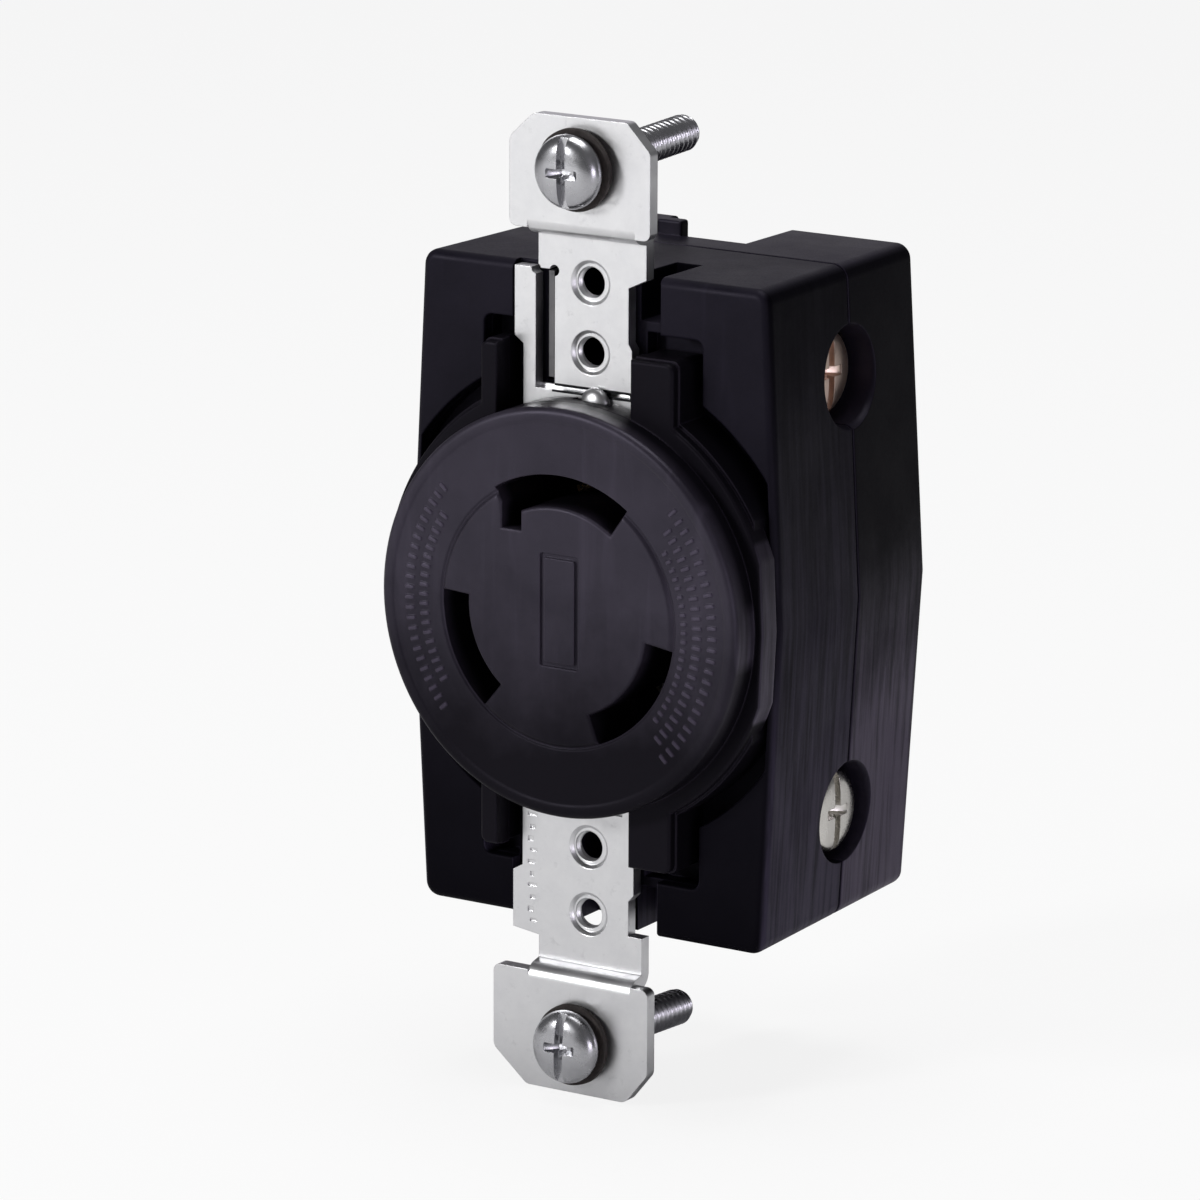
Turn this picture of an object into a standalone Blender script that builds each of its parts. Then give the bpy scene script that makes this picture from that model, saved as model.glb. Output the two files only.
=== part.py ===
"""Single locking flush receptacle on a plated steel mounting strap.

Axes: +X to the right seen from the front, +Y into the wall box, +Z up.
The origin is the centre of the receptacle's round face.
All dimensions are in millimetres and are turned into metres by MM.
"""
import math
from collections import namedtuple

import bmesh
import bpy
from mathutils import Matrix, Vector

MM = 0.001
GAP = 0.3                     # play left between neighbouring pieces
OVER = 1.0                    # unit by which cutters run past the faces they open
BEYOND_Z = 40.0               # height past either end of the body
SMOOTH_ANGLE = 35             # edges sharper than this many degrees stay crisp

# ---- depth stations along +Y, from the face of the nose -------------------
Y_FACE = 0.0                  # front face of the nose
Y_COLLAR = 3.24               # front of the shoulder around the nose
Y_EAR = 3.78                  # front of the mounting ears
STRAP_T = 1.3                 # strap sheet thickness
Y_EAR_BACK = Y_EAR + STRAP_T
Y_NECK = 5.78                 # front of the strap's neck
Y_BACK = Y_NECK + STRAP_T     # back of the strap's neck
Y_UNDER = Y_NECK - GAP        # underside of the nose above the strap
Y_LAND = Y_BACK + GAP         # land behind the strap
Y_BODY = 6.07                 # front of the moulded body
Y_MOAT = 9.05                 # floor of the groove that takes the nose's skirt
Y_WELL = 10.0                 # front of the contact wells
Y_PARTING = 21.15             # middle of the parting line
Y_FRONT_END = Y_PARTING - GAP / 2
Y_REAR_START = Y_PARTING + GAP / 2
Y_REAR = 34.26                # flat back of the body

# ---- body outline: half widths at mid height and at the ends, half height --
FRONT_MID, FRONT_END, FRONT_HALF_H = 20.36, 18.77, 31.36
REAR_MID, REAR_END, REAR_HALF_H = 19.65, 17.70, 31.20
SIDE_SLOPE = (FRONT_MID - FRONT_END) / FRONT_HALF_H
CORNER_R = 1.5
EDGE_R = 0.9

# ---- nose and shoulder -----------------------------------------------------
NOSE_R = 19.4
COLLAR_R = 21.0
TAB_X, TAB_Z = 10.47, 24.1    # flat wings of the shoulder beside the strap
TAB_CORNER_R = 0.8
MOAT_R = 23.2
MOAT_X, MOAT_Z = 11.85, 26.0
SEAT_R = 17.4                 # land under the strap's ring

# ---- blade slots: angles in degrees ---------------------------------------
Slot = namedtuple("Slot", "centre half inner_r outer_r")
SLOTS = {
    "ground": Slot(88.0, 33.0, 10.15, 13.10),
    "line": Slot(203.5, 27.0, 9.75, 12.60),
    "neutral": Slot(321.5, 30.0, 9.75, 12.60),
}
TOE_X, TOE_Z = (-6.0, -3.9), (7.5, 10.4)     # toe at one end of the ground slot

# ---- strap -----------------------------------------------------------------
EAR_HOLE_Z = 83.34 / 2                       # half the pitch of the mounting screws
COVER_HOLE_Z = (23.6, 60.3 / 2)              # tapped holes for a wall plate
RING_R0, RING_R1 = 14.0, 17.2
RIVET_X, RIVET_Z = 0.8, 18.9
RIVET_HOLE_R = 1.25

# ---- terminals -------------------------------------------------------------
# side and level are signs along X and Z, head_seat is the X of the head's underside,
# plate_x the limits of the tab plate and base_y the front of the contact's base
Terminal = namedtuple("Terminal", "side level head_seat plate_x base_y contact_look screw_look")
TERMINALS = {
    "line": Terminal(1, 1, 14.35, (12.95, 14.05), 22.6, "brass", "brass"),
    "neutral": Terminal(1, -1, 15.6, (13.8, 14.9), 20.05, "nickel", "nickel"),
    "ground": Terminal(-1, 1, 14.35, (12.95, 14.05), 20.05, "brass", "green"),
}
TERM_Z = 21.0                 # screw axis above and below the middle
ACCESS_R = 4.77               # screwdriver hole in the side of the body
ACCESS_X = (14.8, 23.0)
BLANK_X = (18.1, 23.0)        # blind hole where there is no terminal

# ---- housing screws --------------------------------------------------------
HS_X, HS_Z = 14.9, 28.3
HS_SEAT_Y = 32.5              # underside of the heads
HS_HOLE_R = 1.5

for old in list(bpy.data.objects):
    bpy.data.objects.remove(old, do_unlink=True)

PARTS = bpy.data.collections.new("locking_receptacle")
TOOLS = bpy.data.collections.new("cutters")
bpy.context.scene.collection.children.link(PARTS)
bpy.context.scene.collection.children.link(TOOLS)


# ---------------------------------------------------------------- materials
LOOKS = {
    "black": dict(colour=(0.022, 0.020, 0.026), roughness=0.42, metallic=0.0),
    "zinc": dict(colour=(0.74, 0.75, 0.76), roughness=0.30, metallic=1.0),
    "brass": dict(colour=(0.72, 0.50, 0.24), roughness=0.32, metallic=1.0),
    "nickel": dict(colour=(0.66, 0.64, 0.60), roughness=0.28, metallic=1.0),
    "green": dict(colour=(0.08, 0.30, 0.12), roughness=0.40, metallic=0.8),
    "steel": dict(colour=(0.50, 0.50, 0.51), roughness=0.38, metallic=1.0),
    "fibre": dict(colour=(0.030, 0.022, 0.020), roughness=0.75, metallic=0.0),
}


def material(name, colour, roughness, metallic):
    mat = bpy.data.materials.new(name)
    mat.use_nodes = True
    inputs = mat.node_tree.nodes["Principled BSDF"].inputs
    inputs["Base Color"].default_value = (*colour, 1.0)
    inputs["Roughness"].default_value = roughness
    inputs["Metallic"].default_value = metallic
    return mat


def dress(ob, look):
    """Give a piece its own material, and no other."""
    ob.data.materials.clear()
    ob.data.materials.append(material(f"{ob.name}_{look}", **LOOKS[look]))


# ------------------------------------------------------------------- shapes
def span(sign, near, far):
    """Limits of a stretch on the positive or negative side of zero."""
    return sorted((sign * near, sign * far))


def widen(limits, by):
    return limits[0] - by, limits[1] + by


def new_object(name, mesh, tool):
    ob = bpy.data.objects.new(name, mesh)
    (TOOLS if tool else PARTS).objects.link(ob)
    if tool:
        ob.hide_render = True
        ob.display_type = 'WIRE'
    return ob


def mesh_from(bm, name):
    mesh = bpy.data.meshes.new(name)
    bm.to_mesh(mesh)
    bm.free()
    return mesh


def smooth(mesh):
    mesh.shade_smooth()
    mesh.set_sharp_from_angle(angle=math.radians(SMOOTH_ANGLE))


def box(name, x, y, z, tool=True):
    """Block between pairs of limits."""
    bm = bmesh.new()
    bmesh.ops.create_cube(bm, size=1.0)
    size = [(hi - lo) * MM for lo, hi in (x, y, z)]
    bmesh.ops.scale(bm, vec=size, verts=bm.verts)
    ob = new_object(name, mesh_from(bm, name), tool)
    ob.location = [(lo + hi) / 2 * MM for lo, hi in (x, y, z)]
    return ob


ALONG = {"x": Matrix.Rotation(math.pi / 2, 3, 'Y'), "y": Matrix.Rotation(-math.pi / 2, 3, 'X')}


def rod(name, r, axis, lo, hi, at, segments=32, tool=True):
    """Cylinder along X or Y between lo and hi; `at` gives the other two coordinates."""
    bm = bmesh.new()
    bmesh.ops.create_cone(bm, cap_ends=True, segments=segments, radius1=r * MM,
                          radius2=r * MM, depth=(hi - lo) * MM)
    bmesh.ops.rotate(bm, matrix=ALONG[axis], verts=bm.verts)
    mesh = mesh_from(bm, name)
    smooth(mesh)
    ob = new_object(name, mesh, tool)
    centre = list(at)
    centre.insert("xy".index(axis), (lo + hi) / 2)
    ob.location = Vector(centre) * MM
    return ob


def sheet(name, outline, lo, hi, plane="xz", tool=True):
    """Flat outline given as (x, z) points, filled and extruded along Y between lo and hi.
    With plane 'yz' the points are (y, z) and the extrusion runs along X."""
    curve = bpy.data.curves.new(name, 'CURVE')
    curve.dimensions = '2D'
    curve.fill_mode = 'BOTH'
    curve.extrude = (hi - lo) / 2 * MM
    spline = curve.splines.new('POLY')
    spline.points.add(len(outline) - 1)
    for point, (u, v) in zip(spline.points, outline):
        point.co = (u * MM, v * MM, 0.0, 1.0)
    spline.use_cyclic_u = True
    guide = bpy.data.objects.new(name + "_outline", curve)
    TOOLS.objects.link(guide)
    mid = (lo + hi) / 2 * MM
    if plane == "xz":
        guide.matrix_world = (Matrix.Translation((0, mid, 0))
                              @ Matrix.Rotation(math.pi / 2, 4, 'X'))
    else:
        guide.matrix_world = Matrix.Translation((mid, 0, 0)) @ Matrix(
            ((0, 0, 1, 0), (1, 0, 0, 0), (0, 1, 0, 0), (0, 0, 0, 1)))
    bpy.context.view_layer.update()
    deps = bpy.context.evaluated_depsgraph_get()
    mesh = bpy.data.meshes.new_from_object(guide.evaluated_get(deps))
    bm = bmesh.new()
    bm.from_mesh(mesh)
    bmesh.ops.remove_doubles(bm, verts=bm.verts, dist=1e-6)
    bmesh.ops.dissolve_limit(bm, angle_limit=math.radians(0.5), verts=bm.verts, edges=bm.edges)
    bmesh.ops.recalc_face_normals(bm, faces=bm.faces)
    bm.to_mesh(mesh)
    bm.free()
    smooth(mesh)
    ob = new_object(name, mesh, tool)
    ob.matrix_world = guide.matrix_world.copy()
    bpy.data.objects.remove(guide, do_unlink=True)
    return ob


FACING = {"-y": Matrix.Rotation(math.pi / 2, 4, 'X'), "+y": Matrix.Rotation(-math.pi / 2, 4, 'X'),
          "+x": Matrix.Rotation(math.pi / 2, 4, 'Y'), "-x": Matrix.Rotation(-math.pi / 2, 4, 'Y')}


def turned(name, profile, direction, at, steps=24, tool=False):
    """Turned piece: (radius, height) profile from the top of the axis down the outer side,
    with its own +Z laid along `direction`."""
    mesh = bpy.data.meshes.new(name)
    mesh.from_pydata([(r * MM, 0, height * MM) for r, height in profile],
                     [(i, i + 1) for i in range(len(profile) - 1)], [])
    ob = new_object(name, mesh, tool)
    screw = ob.modifiers.new("turn", 'SCREW')
    screw.axis = 'Z'
    screw.steps = steps
    screw.render_steps = steps
    screw.use_merge_vertices = True
    screw.merge_threshold = 1e-5
    screw.use_smooth_shade = not tool
    ob.matrix_world = Matrix.Translation(Vector(at) * MM) @ FACING[direction]
    return ob


def combine(ob, tools, operation):
    for tool in tools:
        mod = ob.modifiers.new(operation.lower(), 'BOOLEAN')
        mod.operation = operation
        mod.solver = 'EXACT'
        mod.object = tool


def cut(ob, *tools):
    combine(ob, tools, 'DIFFERENCE')


def add(ob, *tools):
    combine(ob, tools, 'UNION')


# ----------------------------------------------------------------- outlines
def arc(r, start, end, steps):
    """Points from one angle to another, in degrees."""
    angles = [math.radians(start + (end - start) * i / steps) for i in range(steps + 1)]
    return [(r * math.cos(angle), r * math.sin(angle)) for angle in angles]


def sector(inner_r, outer_r, centre, half, steps=10):
    return (arc(outer_r, centre - half, centre + half, steps)
            + arc(inner_r, centre + half, centre - half, steps))


def rounded(points, radii, steps=3):
    """Round each corner of a polygon with its own radius; 0 leaves it sharp."""
    out = []
    for i, radius in enumerate(radii):
        corner = Vector(points[i])
        if radius <= 0:
            out.append(tuple(corner))
            continue
        to_last = (Vector(points[i - 1]) - corner).normalized()
        to_next = (Vector(points[(i + 1) % len(points)]) - corner).normalized()
        half = to_last.angle(to_next) / 2
        reach = radius / math.tan(half)
        centre = corner + (to_last + to_next).normalized() * (radius / math.sin(half))
        start = corner + to_last * reach - centre
        end = corner + to_next * reach - centre
        sweep = math.atan2(start.x * end.y - start.y * end.x, start.dot(end))
        base = math.atan2(start.y, start.x)
        for k in range(steps + 1):
            angle = base + sweep * k / steps
            out.append((centre.x + radius * math.cos(angle), centre.y + radius * math.sin(angle)))
    return out


def barrel(mid, end, half_h):
    """Hexagonal outline, widest at mid height."""
    r = CORNER_R
    corners = [(mid, 0), (end, half_h), (-end, half_h), (-mid, 0), (-end, -half_h), (end, -half_h)]
    return rounded(corners, [0, r, r, 0, r, r])


def shoulder(radius, side, tab_x, tab_z):
    """Circle clipped by the body's leaning sides, joined to a flat wing above and below."""
    lean_sq = 1 + SIDE_SLOPE * SIDE_SLOPE
    clip_z = (SIDE_SLOPE * side + math.sqrt(radius ** 2 * lean_sq - side ** 2)) / lean_sq
    clip_angle = math.degrees(math.asin(clip_z / radius))
    tab_angle = math.degrees(math.acos(tab_x / radius))
    wing = rounded([(tab_x, 0), (tab_x, tab_z), (0, tab_z)], [0, TAB_CORNER_R, 0])[1:-1]
    quarter = [(side, 0)] + arc(radius, clip_angle, tab_angle, 9) + wing
    half = quarter + [(-x, z) for x, z in reversed(quarter)]
    return half[:-1] + [(x, -z) for x, z in reversed(half)][:-1]


# ------------------------------------------------------------------ housings
CHAMBER_X, CHAMBER_Z = (6.0, 15.3), (15.4, 26.6)     # room for one terminal
BUS_X, BUS_Z = (-15.2, 15.2), (-15.6, 15.6)          # room for the contacts' arms
BOND_X = (-5.6, -4.3)                                # passage for the bond clip


def body_shell(name, y0, y1, edge_at):
    """Stretch of the tapering body between two stations, its perimeter at edge_at rounded."""
    def station(y):
        t = (y - Y_BODY) / (Y_REAR - Y_BODY)
        return [a + (b - a) * t for a, b in ((FRONT_MID, REAR_MID), (FRONT_END, REAR_END),
                                             (FRONT_HALF_H, REAR_HALF_H))]
    near, far = station(y0), station(y1)
    ob = sheet(name, barrel(*near), y0, y1, tool=False)
    mesh = ob.data
    world = ob.matrix_world
    scale_x = (far[0] / near[0] + far[1] / near[1]) / 2
    scale_z = far[2] / near[2]
    for vert in mesh.vertices:          # moulding draft; the mesh's own Y is up
        if (world @ vert.co).y > (y0 + y1) / 2 * MM:
            vert.co.x *= scale_x
            vert.co.y *= scale_z
    weight = mesh.attributes.new("bevel_weight_edge", 'FLOAT', 'EDGE')
    for edge in mesh.edges:
        ends = [(world @ mesh.vertices[i].co).y for i in edge.vertices]
        if all(abs(y - edge_at * MM) < 1e-6 for y in ends):
            weight.data[edge.index].value = 1.0
    bevel = ob.modifiers.new("edge", 'BEVEL')
    bevel.width = EDGE_R * MM
    bevel.segments = 2
    bevel.limit_method = 'WEIGHT'
    return ob


def side_hole(name, sign, z, x_limits=ACCESS_X):
    return rod(name, ACCESS_R, "x", *span(sign, *x_limits), (Y_PARTING, z))


def chamber(name, term, y0, y1):
    return box(name, span(term.side, *CHAMBER_X), (y0, y1), span(term.level, *CHAMBER_Z))


def cut_moat(front):
    """Groove for the nose's skirt, left uncut under the strap's ring and neck."""
    fit = 0.04
    outline = shoulder(MOAT_R - fit, 19.45, MOAT_X - fit, MOAT_Z - fit)
    moat = sheet("t_moat", outline, Y_BODY - 2.5 * OVER, Y_MOAT)
    y = (Y_BODY - 3 * OVER, Y_MOAT + OVER)
    cut(moat, rod("t_moat_core", SEAT_R, "y", *y, (0, 0), 48),
        box("t_moat_neck", (-8.7, 5.2), y, (-BEYOND_Z, BEYOND_Z)))
    cut(front, moat)


def front_housing():
    recess_x = (4.5, 7.3)
    cover_r = 2.1                       # room for a cover screw's end
    gate_ease = 0.15                    # blade openings are this much larger than the slots
    toe_ease = 0.2
    y_end = Y_FRONT_END + OVER
    y_above = Y_BODY - 2 * OVER
    y_gate = Y_WELL + OVER
    front = body_shell("front_housing", Y_BODY, Y_FRONT_END, edge_at=Y_BODY)
    cut(front, sheet("t_seat", shoulder(MOAT_R, 19.5, MOAT_X, MOAT_Z), y_above, Y_LAND))
    for sign in (1, -1):                # channels for the strap's neck
        cut(front, box(f"t_channel_{sign}", (-8.65, recess_x[1]),
                       (Y_BODY - 2.2 * OVER, Y_LAND - 0.01), span(sign, 20, BEYOND_Z)))
    cut_moat(front)
    for sign in (1, -1):
        cut(front, box(f"t_recess_{sign}", recess_x, (y_above, 13.5), span(sign, 26.9, BEYOND_Z)))
    for key, slot in SLOTS.items():
        gate = sector(slot.inner_r - gate_ease, slot.outer_r + gate_ease, slot.centre,
                      slot.half + 1)
        well = sector(8.9, 14.4, slot.centre, slot.half + 3)
        cut(front, sheet("t_gate_" + key, gate, Y_BODY, y_gate),
            sheet("t_well_" + key, well, Y_WELL, y_end))
    cut(front, box("t_gate_toe", widen(TOE_X, toe_ease), (Y_BODY, y_gate),
                   widen(TOE_Z, toe_ease)))
    cut(front, box("t_bus_room", BUS_X, (19.8, y_end), BUS_Z))
    for key, term in TERMINALS.items():
        cut(front, chamber("t_chamber_" + key, term, 15.3, y_end),
            side_hole("t_access_" + key, term.side, term.level * TERM_Z))
    cut(front, side_hole("t_blank_f", -1, -TERM_Z, BLANK_X))
    inner_z, outer_z = COVER_HOLE_Z
    for sign in (1, -1):                # the outer cover hole runs out at the edge
        cut(front, rod(f"t_cover_{sign}", cover_r, "y", Y_BODY, 15.0, (0, sign * inner_z), 20),
            box(f"t_cover_run_out_{sign}", (-cover_r, cover_r), (Y_BODY - 0.5, 11.0),
                span(sign, outer_z - cover_r, BEYOND_Z)),
            rod(f"t_rivet_f_{sign}", RIVET_HOLE_R, "y", Y_BODY, 13.3,
                (RIVET_X, sign * RIVET_Z), 16))
        for side in (1, -1):
            cut(front, rod(f"t_hs_f_{sign}_{side}", HS_HOLE_R, "y", 11.5, y_end,
                           (side * HS_X, sign * HS_Z), 16))
    cut(front, box("t_bond", BOND_X, (Y_BODY, y_end), (20.2, 31.0)),
        box("t_bond_foot", BOND_X, (18.6, y_end), (14.6, 21.0)))
    dress(front, "black")


# Hole profiles in the back of the body: radius, height above the rear face
WIRE_ENTRY = [(0, 0.5), (2.8, 0.5), (1.8, -0.5), (1.8, -8.2), (0, -8.2)]
WIRE_X, WIRE_DZ = 11.33, 3.7            # distance from the middle, and from the screw axis
HS_FLOOR = HS_SEAT_Y - GAP - Y_REAR
HS_BORE = [(0, 1.0), (2.15, 1.0), (2.15, HS_FLOOR), (HS_HOLE_R, HS_FLOOR),
           (HS_HOLE_R, -14.0), (0, -14.0)]


def rear_housing():
    y_start = Y_REAR_START - OVER
    rear = body_shell("rear_housing", Y_REAR_START, Y_REAR, edge_at=Y_REAR)
    cut(rear, box("t_rear_room", BUS_X, (y_start, 26.3), BUS_Z))
    for key, term in TERMINALS.items():
        z = term.level * TERM_Z
        cut(rear, chamber("t_rchamber_" + key, term, y_start, 27.0),
            side_hole("t_raccess_" + key, term.side, z))
        for tag, dz in (("a", WIRE_DZ), ("b", -WIRE_DZ)):
            cut(rear, turned(f"t_wire_{key}_{tag}", WIRE_ENTRY, "+y",
                             (term.side * WIRE_X, Y_REAR, z + dz), 20, tool=True))
    cut(rear, side_hole("t_blank_r", -1, -TERM_Z, BLANK_X))
    cut(rear, box("t_notch", (-8.0, 5.0), (25.0, Y_REAR + 2 * OVER), (27.4, BEYOND_Z)))
    add(rear, box("t_lug", (-4.6, -1.9), (24.6, 26.0), (27.0, 32.7)))
    for sign in (1, -1):
        for side in (1, -1):
            cut(rear, turned(f"t_hs_r_{sign}_{side}", HS_BORE, "+y",
                             (side * HS_X, Y_REAR, sign * HS_Z), 20, tool=True))
    dress(rear, "black")


# ----------------------------------------------------------------- nose face
FRAME_X, FRAME_Z = (-1.75, 2.4), (-5.0, 5.7)         # rectangular line sunk in the face
FRAME_LINE_W, FRAME_LINE_DEPTH = 0.4, 0.25


def nose_face():
    y_past = Y_MOAT + 2 * OVER
    room_r = SEAT_R + GAP
    nose = rod("nose_face", NOSE_R, "y", Y_FACE, 4.4, (0, 0), 72, tool=False)
    rim = nose.modifiers.new("rim", 'BEVEL')
    rim.width = 0.5 * MM
    rim.segments = 2
    rim.limit_method = 'ANGLE'
    rim.angle_limit = math.radians(40)
    add(nose, sheet("t_collar", shoulder(COLLAR_R, FRONT_MID - 0.1, TAB_X, TAB_Z),
                    Y_COLLAR, Y_BODY - 0.27),
        sheet("t_skirt", shoulder(COLLAR_R + 0.3, 19.15, TAB_X + 0.15, TAB_Z + 0.15),
              Y_COLLAR + 1, Y_MOAT - GAP))
    cut(nose, rod("t_under", room_r, "y", Y_BACK - 0.03, y_past, (0, 0), 48))
    ring_room = rod("t_ring_room", room_r, "y", Y_UNDER, y_past, (0, 0), 48)
    cut(ring_room, rod("t_ring_core", RING_R0 - GAP, "y", Y_UNDER - OVER, Y_MOAT + 3 * OVER,
                       (0, 0), 48))
    cut(nose, ring_room)
    for sign in (1, -1):                # room for the neck, and the shoulder open in front of it
        z = span(sign, 15.0, 26.0)
        cut(nose, box(f"t_neck_under_{sign}", (-9.0, 6.2), (Y_UNDER, y_past), z))
        gate = box(f"t_neck_open_{sign}", (-8.65, 5.9), (Y_FACE, Y_UNDER + 0.2), z)
        cut(gate, rod(f"t_neck_keep_{sign}", NOSE_R + 0.02, "y", Y_FACE - OVER, Y_UNDER + OVER,
                      (0, 0), 72))
        cut(nose, gate,
            rod(f"t_rivet_n_{sign}", 2.0, "y", 4.3, Y_MOAT, (RIVET_X, sign * RIVET_Z), 20))
    for key, slot in SLOTS.items():
        outline = sector(slot.inner_r, slot.outer_r, slot.centre, slot.half)
        cut(nose, sheet("t_slot_" + key, outline, Y_FACE - OVER, y_past))
    cut(nose, box("t_slot_toe", TOE_X, (Y_FACE - OVER, y_past), TOE_Z))
    frame = box("t_frame_line", FRAME_X, (Y_FACE - OVER, Y_FACE + FRAME_LINE_DEPTH), FRAME_Z)
    cut(frame, box("t_frame_keep", widen(FRAME_X, -FRAME_LINE_W),
                   (Y_FACE - 2 * OVER, Y_FACE + OVER), widen(FRAME_Z, -FRAME_LINE_W)))
    cut(nose, frame)
    dress(nose, "black")


# ------------------------------------------------------------ mounting strap
# Ears: (x, z) corners, then the radius at each corner
EAR_TOP = rounded([(-7.6, 35.1), (7.6, 35.1), (7.6, 43.2), (5.1, 45.8), (-5.0, 45.8),
                   (-7.6, 43.4)], [0.8, 0.8, 0.8, 0.8, 1.2, 1.2])
EAR_LOW = rounded([(7.8, -35.9), (-9.3, -35.9), (-9.3, -44.0), (-5.6, -47.2), (5.4, -47.2),
                   (7.8, -44.2)], [0.8, 0.8, 1.0, 1.0, 1.2, 1.0])
# Necks: (x, z)
NECK_TOP = [(-7.35, 15.0), (4.5, 15.0), (4.5, 24.3), (4.1, 24.9), (4.1, 30.1), (6.0, 31.0),
            (6.0, 34.2), (-5.7, 34.2), (-5.7, 31.0), (-8.3, 31.0), (-8.3, 24.4), (-7.35, 23.7)]
NECK_LOW = [(4.95, -15.0), (-7.35, -15.0), (-7.35, -26.4), (-8.4, -27.0), (-8.4, -32.6),
            (-5.5, -33.0), (-5.5, -35.1), (5.9, -35.1), (5.9, -31.6), (4.4, -31.6),
            (4.4, -28.2), (4.95, -27.6)]
# Joggles between neck and ear: (y, z)
JOGGLE_TOP = [(Y_NECK, 33.4), (Y_BACK, 33.4), (Y_BACK, 35.0), (Y_EAR_BACK, 35.9),
              (Y_EAR_BACK, 36.4), (Y_EAR, 36.4), (Y_EAR, 35.1), (Y_NECK, 34.2)]
JOGGLE_LOW = [(Y_NECK, -34.3), (Y_BACK, -34.3), (Y_BACK, -35.9), (Y_EAR_BACK, -36.7),
              (Y_EAR_BACK, -37.2), (Y_EAR, -37.2), (Y_EAR, -35.9), (Y_NECK, -35.1)]
EAR_SLOT_X, EAR_SLOT_Z, EAR_SLOT_R = 3.1, 2.5, 2.45  # half width, half height, corner radius
TAP_R = 1.5


def mounting_strap():
    through = (Y_NECK - OVER, Y_BACK + OVER)
    strap = sheet("mounting_strap", arc(RING_R1, 0, 352.5, 47), Y_NECK, Y_BACK, tool=False)
    add(strap, sheet("t_neck_top", NECK_TOP, Y_NECK, Y_BACK),
        sheet("t_neck_low", NECK_LOW, Y_NECK, Y_BACK))
    cut(strap, rod("t_ring_hole", RING_R0, "y", *through, (0, 0), 48))
    add(strap, sheet("t_joggle_top", JOGGLE_TOP, -5.7, 6.0, plane="yz"),
        sheet("t_joggle_low", JOGGLE_LOW, -5.5, 5.9, plane="yz"),
        sheet("t_ear_top", EAR_TOP, Y_EAR, Y_EAR_BACK),
        sheet("t_ear_low", EAR_LOW, Y_EAR, Y_EAR_BACK))
    for sign in (1, -1):
        low, high = widen((sign * EAR_HOLE_Z, sign * EAR_HOLE_Z), EAR_SLOT_Z)
        slot = rounded([(-EAR_SLOT_X, low), (EAR_SLOT_X, low), (EAR_SLOT_X, high),
                        (-EAR_SLOT_X, high)], [EAR_SLOT_R] * 4, 5)
        cut(strap, sheet(f"t_ear_slot_{sign}", slot, Y_EAR - OVER, Y_EAR_BACK + OVER))
        for z in COVER_HOLE_Z:
            cut(strap, rod(f"t_tap_{sign}_{int(z)}", TAP_R, "y", *through, (0, sign * z), 20))
        cut(strap, rod(f"t_rivet_s_{sign}", RIVET_HOLE_R, "y", *through,
                       (RIVET_X, sign * RIVET_Z), 16))
    cut(strap, box("t_bond_slot", (-6.0, -3.9), through, (20.0, 31.0)),
        box("t_coined_line", (-6.0, 4.3), (Y_NECK - OVER, Y_NECK + 0.9), (19.6, 20.2)))
    for x in (-5.75, -4.15):            # relief at the bond slot's upper corners
        cut(strap, rod(f"t_relief_{int(x)}", 0.5, "y", *through, (x, 31.1), 12))
    dress(strap, "zinc")


# ------------------------------------------------------ contacts and springs
# Arms from each contact's base to its tab plate: (x, z)
ARMS = {
    "ground": [(-4.0, 10.2), (1.0, 11.0), (0.0, 13.2), (-12.4, 15.2), (-12.95, 17.0),
               (-14.05, 17.0), (-14.05, 13.0), (-12.0, 11.6)],
    "line": [(-12.0, -1.6), (-11.5, -6.0), (-7.5, -7.0), (14.05, 12.2), (14.05, 17.0),
             (12.95, 17.0), (12.95, 15.3)],
    "neutral": [(6.5, -8.2), (11.0, -7.4), (14.9, -12.5), (14.9, -17.0), (13.8, -17.0),
                (13.8, -15.3), (9.5, -12.5)],
}
BLADE_GAP = 1.9               # opening between a contact's two jaws
JAW_T = 0.7
Y_JAW = 11.0                  # front of the jaws
BASE_T = 0.8
BASE_MARGIN = 0.15            # base beyond the jaws, in radius
ARM_INSET = 0.05              # arm thinner than the base on each face


def jaws(slot):
    """Radius limits of the inner and the outer jaw."""
    mid = (slot.inner_r + slot.outer_r) / 2
    return ((mid - BLADE_GAP / 2 - JAW_T, mid - BLADE_GAP / 2),
            (mid + BLADE_GAP / 2, mid + BLADE_GAP / 2 + JAW_T))


def contact(key, slot):
    term = TERMINALS[key]
    inner, outer = jaws(slot)
    half = slot.half - 4.0
    y_base = term.base_y
    y_jaw_end = y_base + BASE_T / 2
    base = sector(inner[0] - BASE_MARGIN, outer[1] + BASE_MARGIN, slot.centre, half + 0.8, 9)
    ob = sheet(key + "_contact", base, y_base, y_base + BASE_T, tool=False)
    add(ob, sheet("t_jaw_in_" + key, sector(*inner, slot.centre, half, 8), Y_JAW, y_jaw_end),
        sheet("t_jaw_out_" + key, sector(*outer, slot.centre, half, 8), Y_JAW, y_jaw_end),
        sheet("t_arm_" + key, ARMS[key], y_base + ARM_INSET, y_base + BASE_T - ARM_INSET),
        box("t_tab_" + key, span(term.side, *term.plate_x), (16.2, 26.0),
            span(term.level, 16.2, 25.8)))
    cut(ob, rod("t_tab_hole_" + key, 2.45, "x", *span(term.side, 12.0, 16.0),
                (Y_PARTING, term.level * TERM_Z), 24))
    dress(ob, term.contact_look)


def contact_spring(key, slot):
    """Curved leaf outside the outer jaw, split from its back edge."""
    r = jaws(slot)[1][1]
    spring = sheet(key + "_contact_spring", sector(r + 0.2, r + 0.65, slot.centre,
                                                   slot.half - 9.0, 8), 11.8, 18.6, tool=False)
    cut(spring, sheet("t_spring_gap_" + key, sector(r - 0.5, r + 1.5, slot.centre, 2.0, 2),
                      13.5, 19.5))
    dress(spring, "steel")


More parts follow.
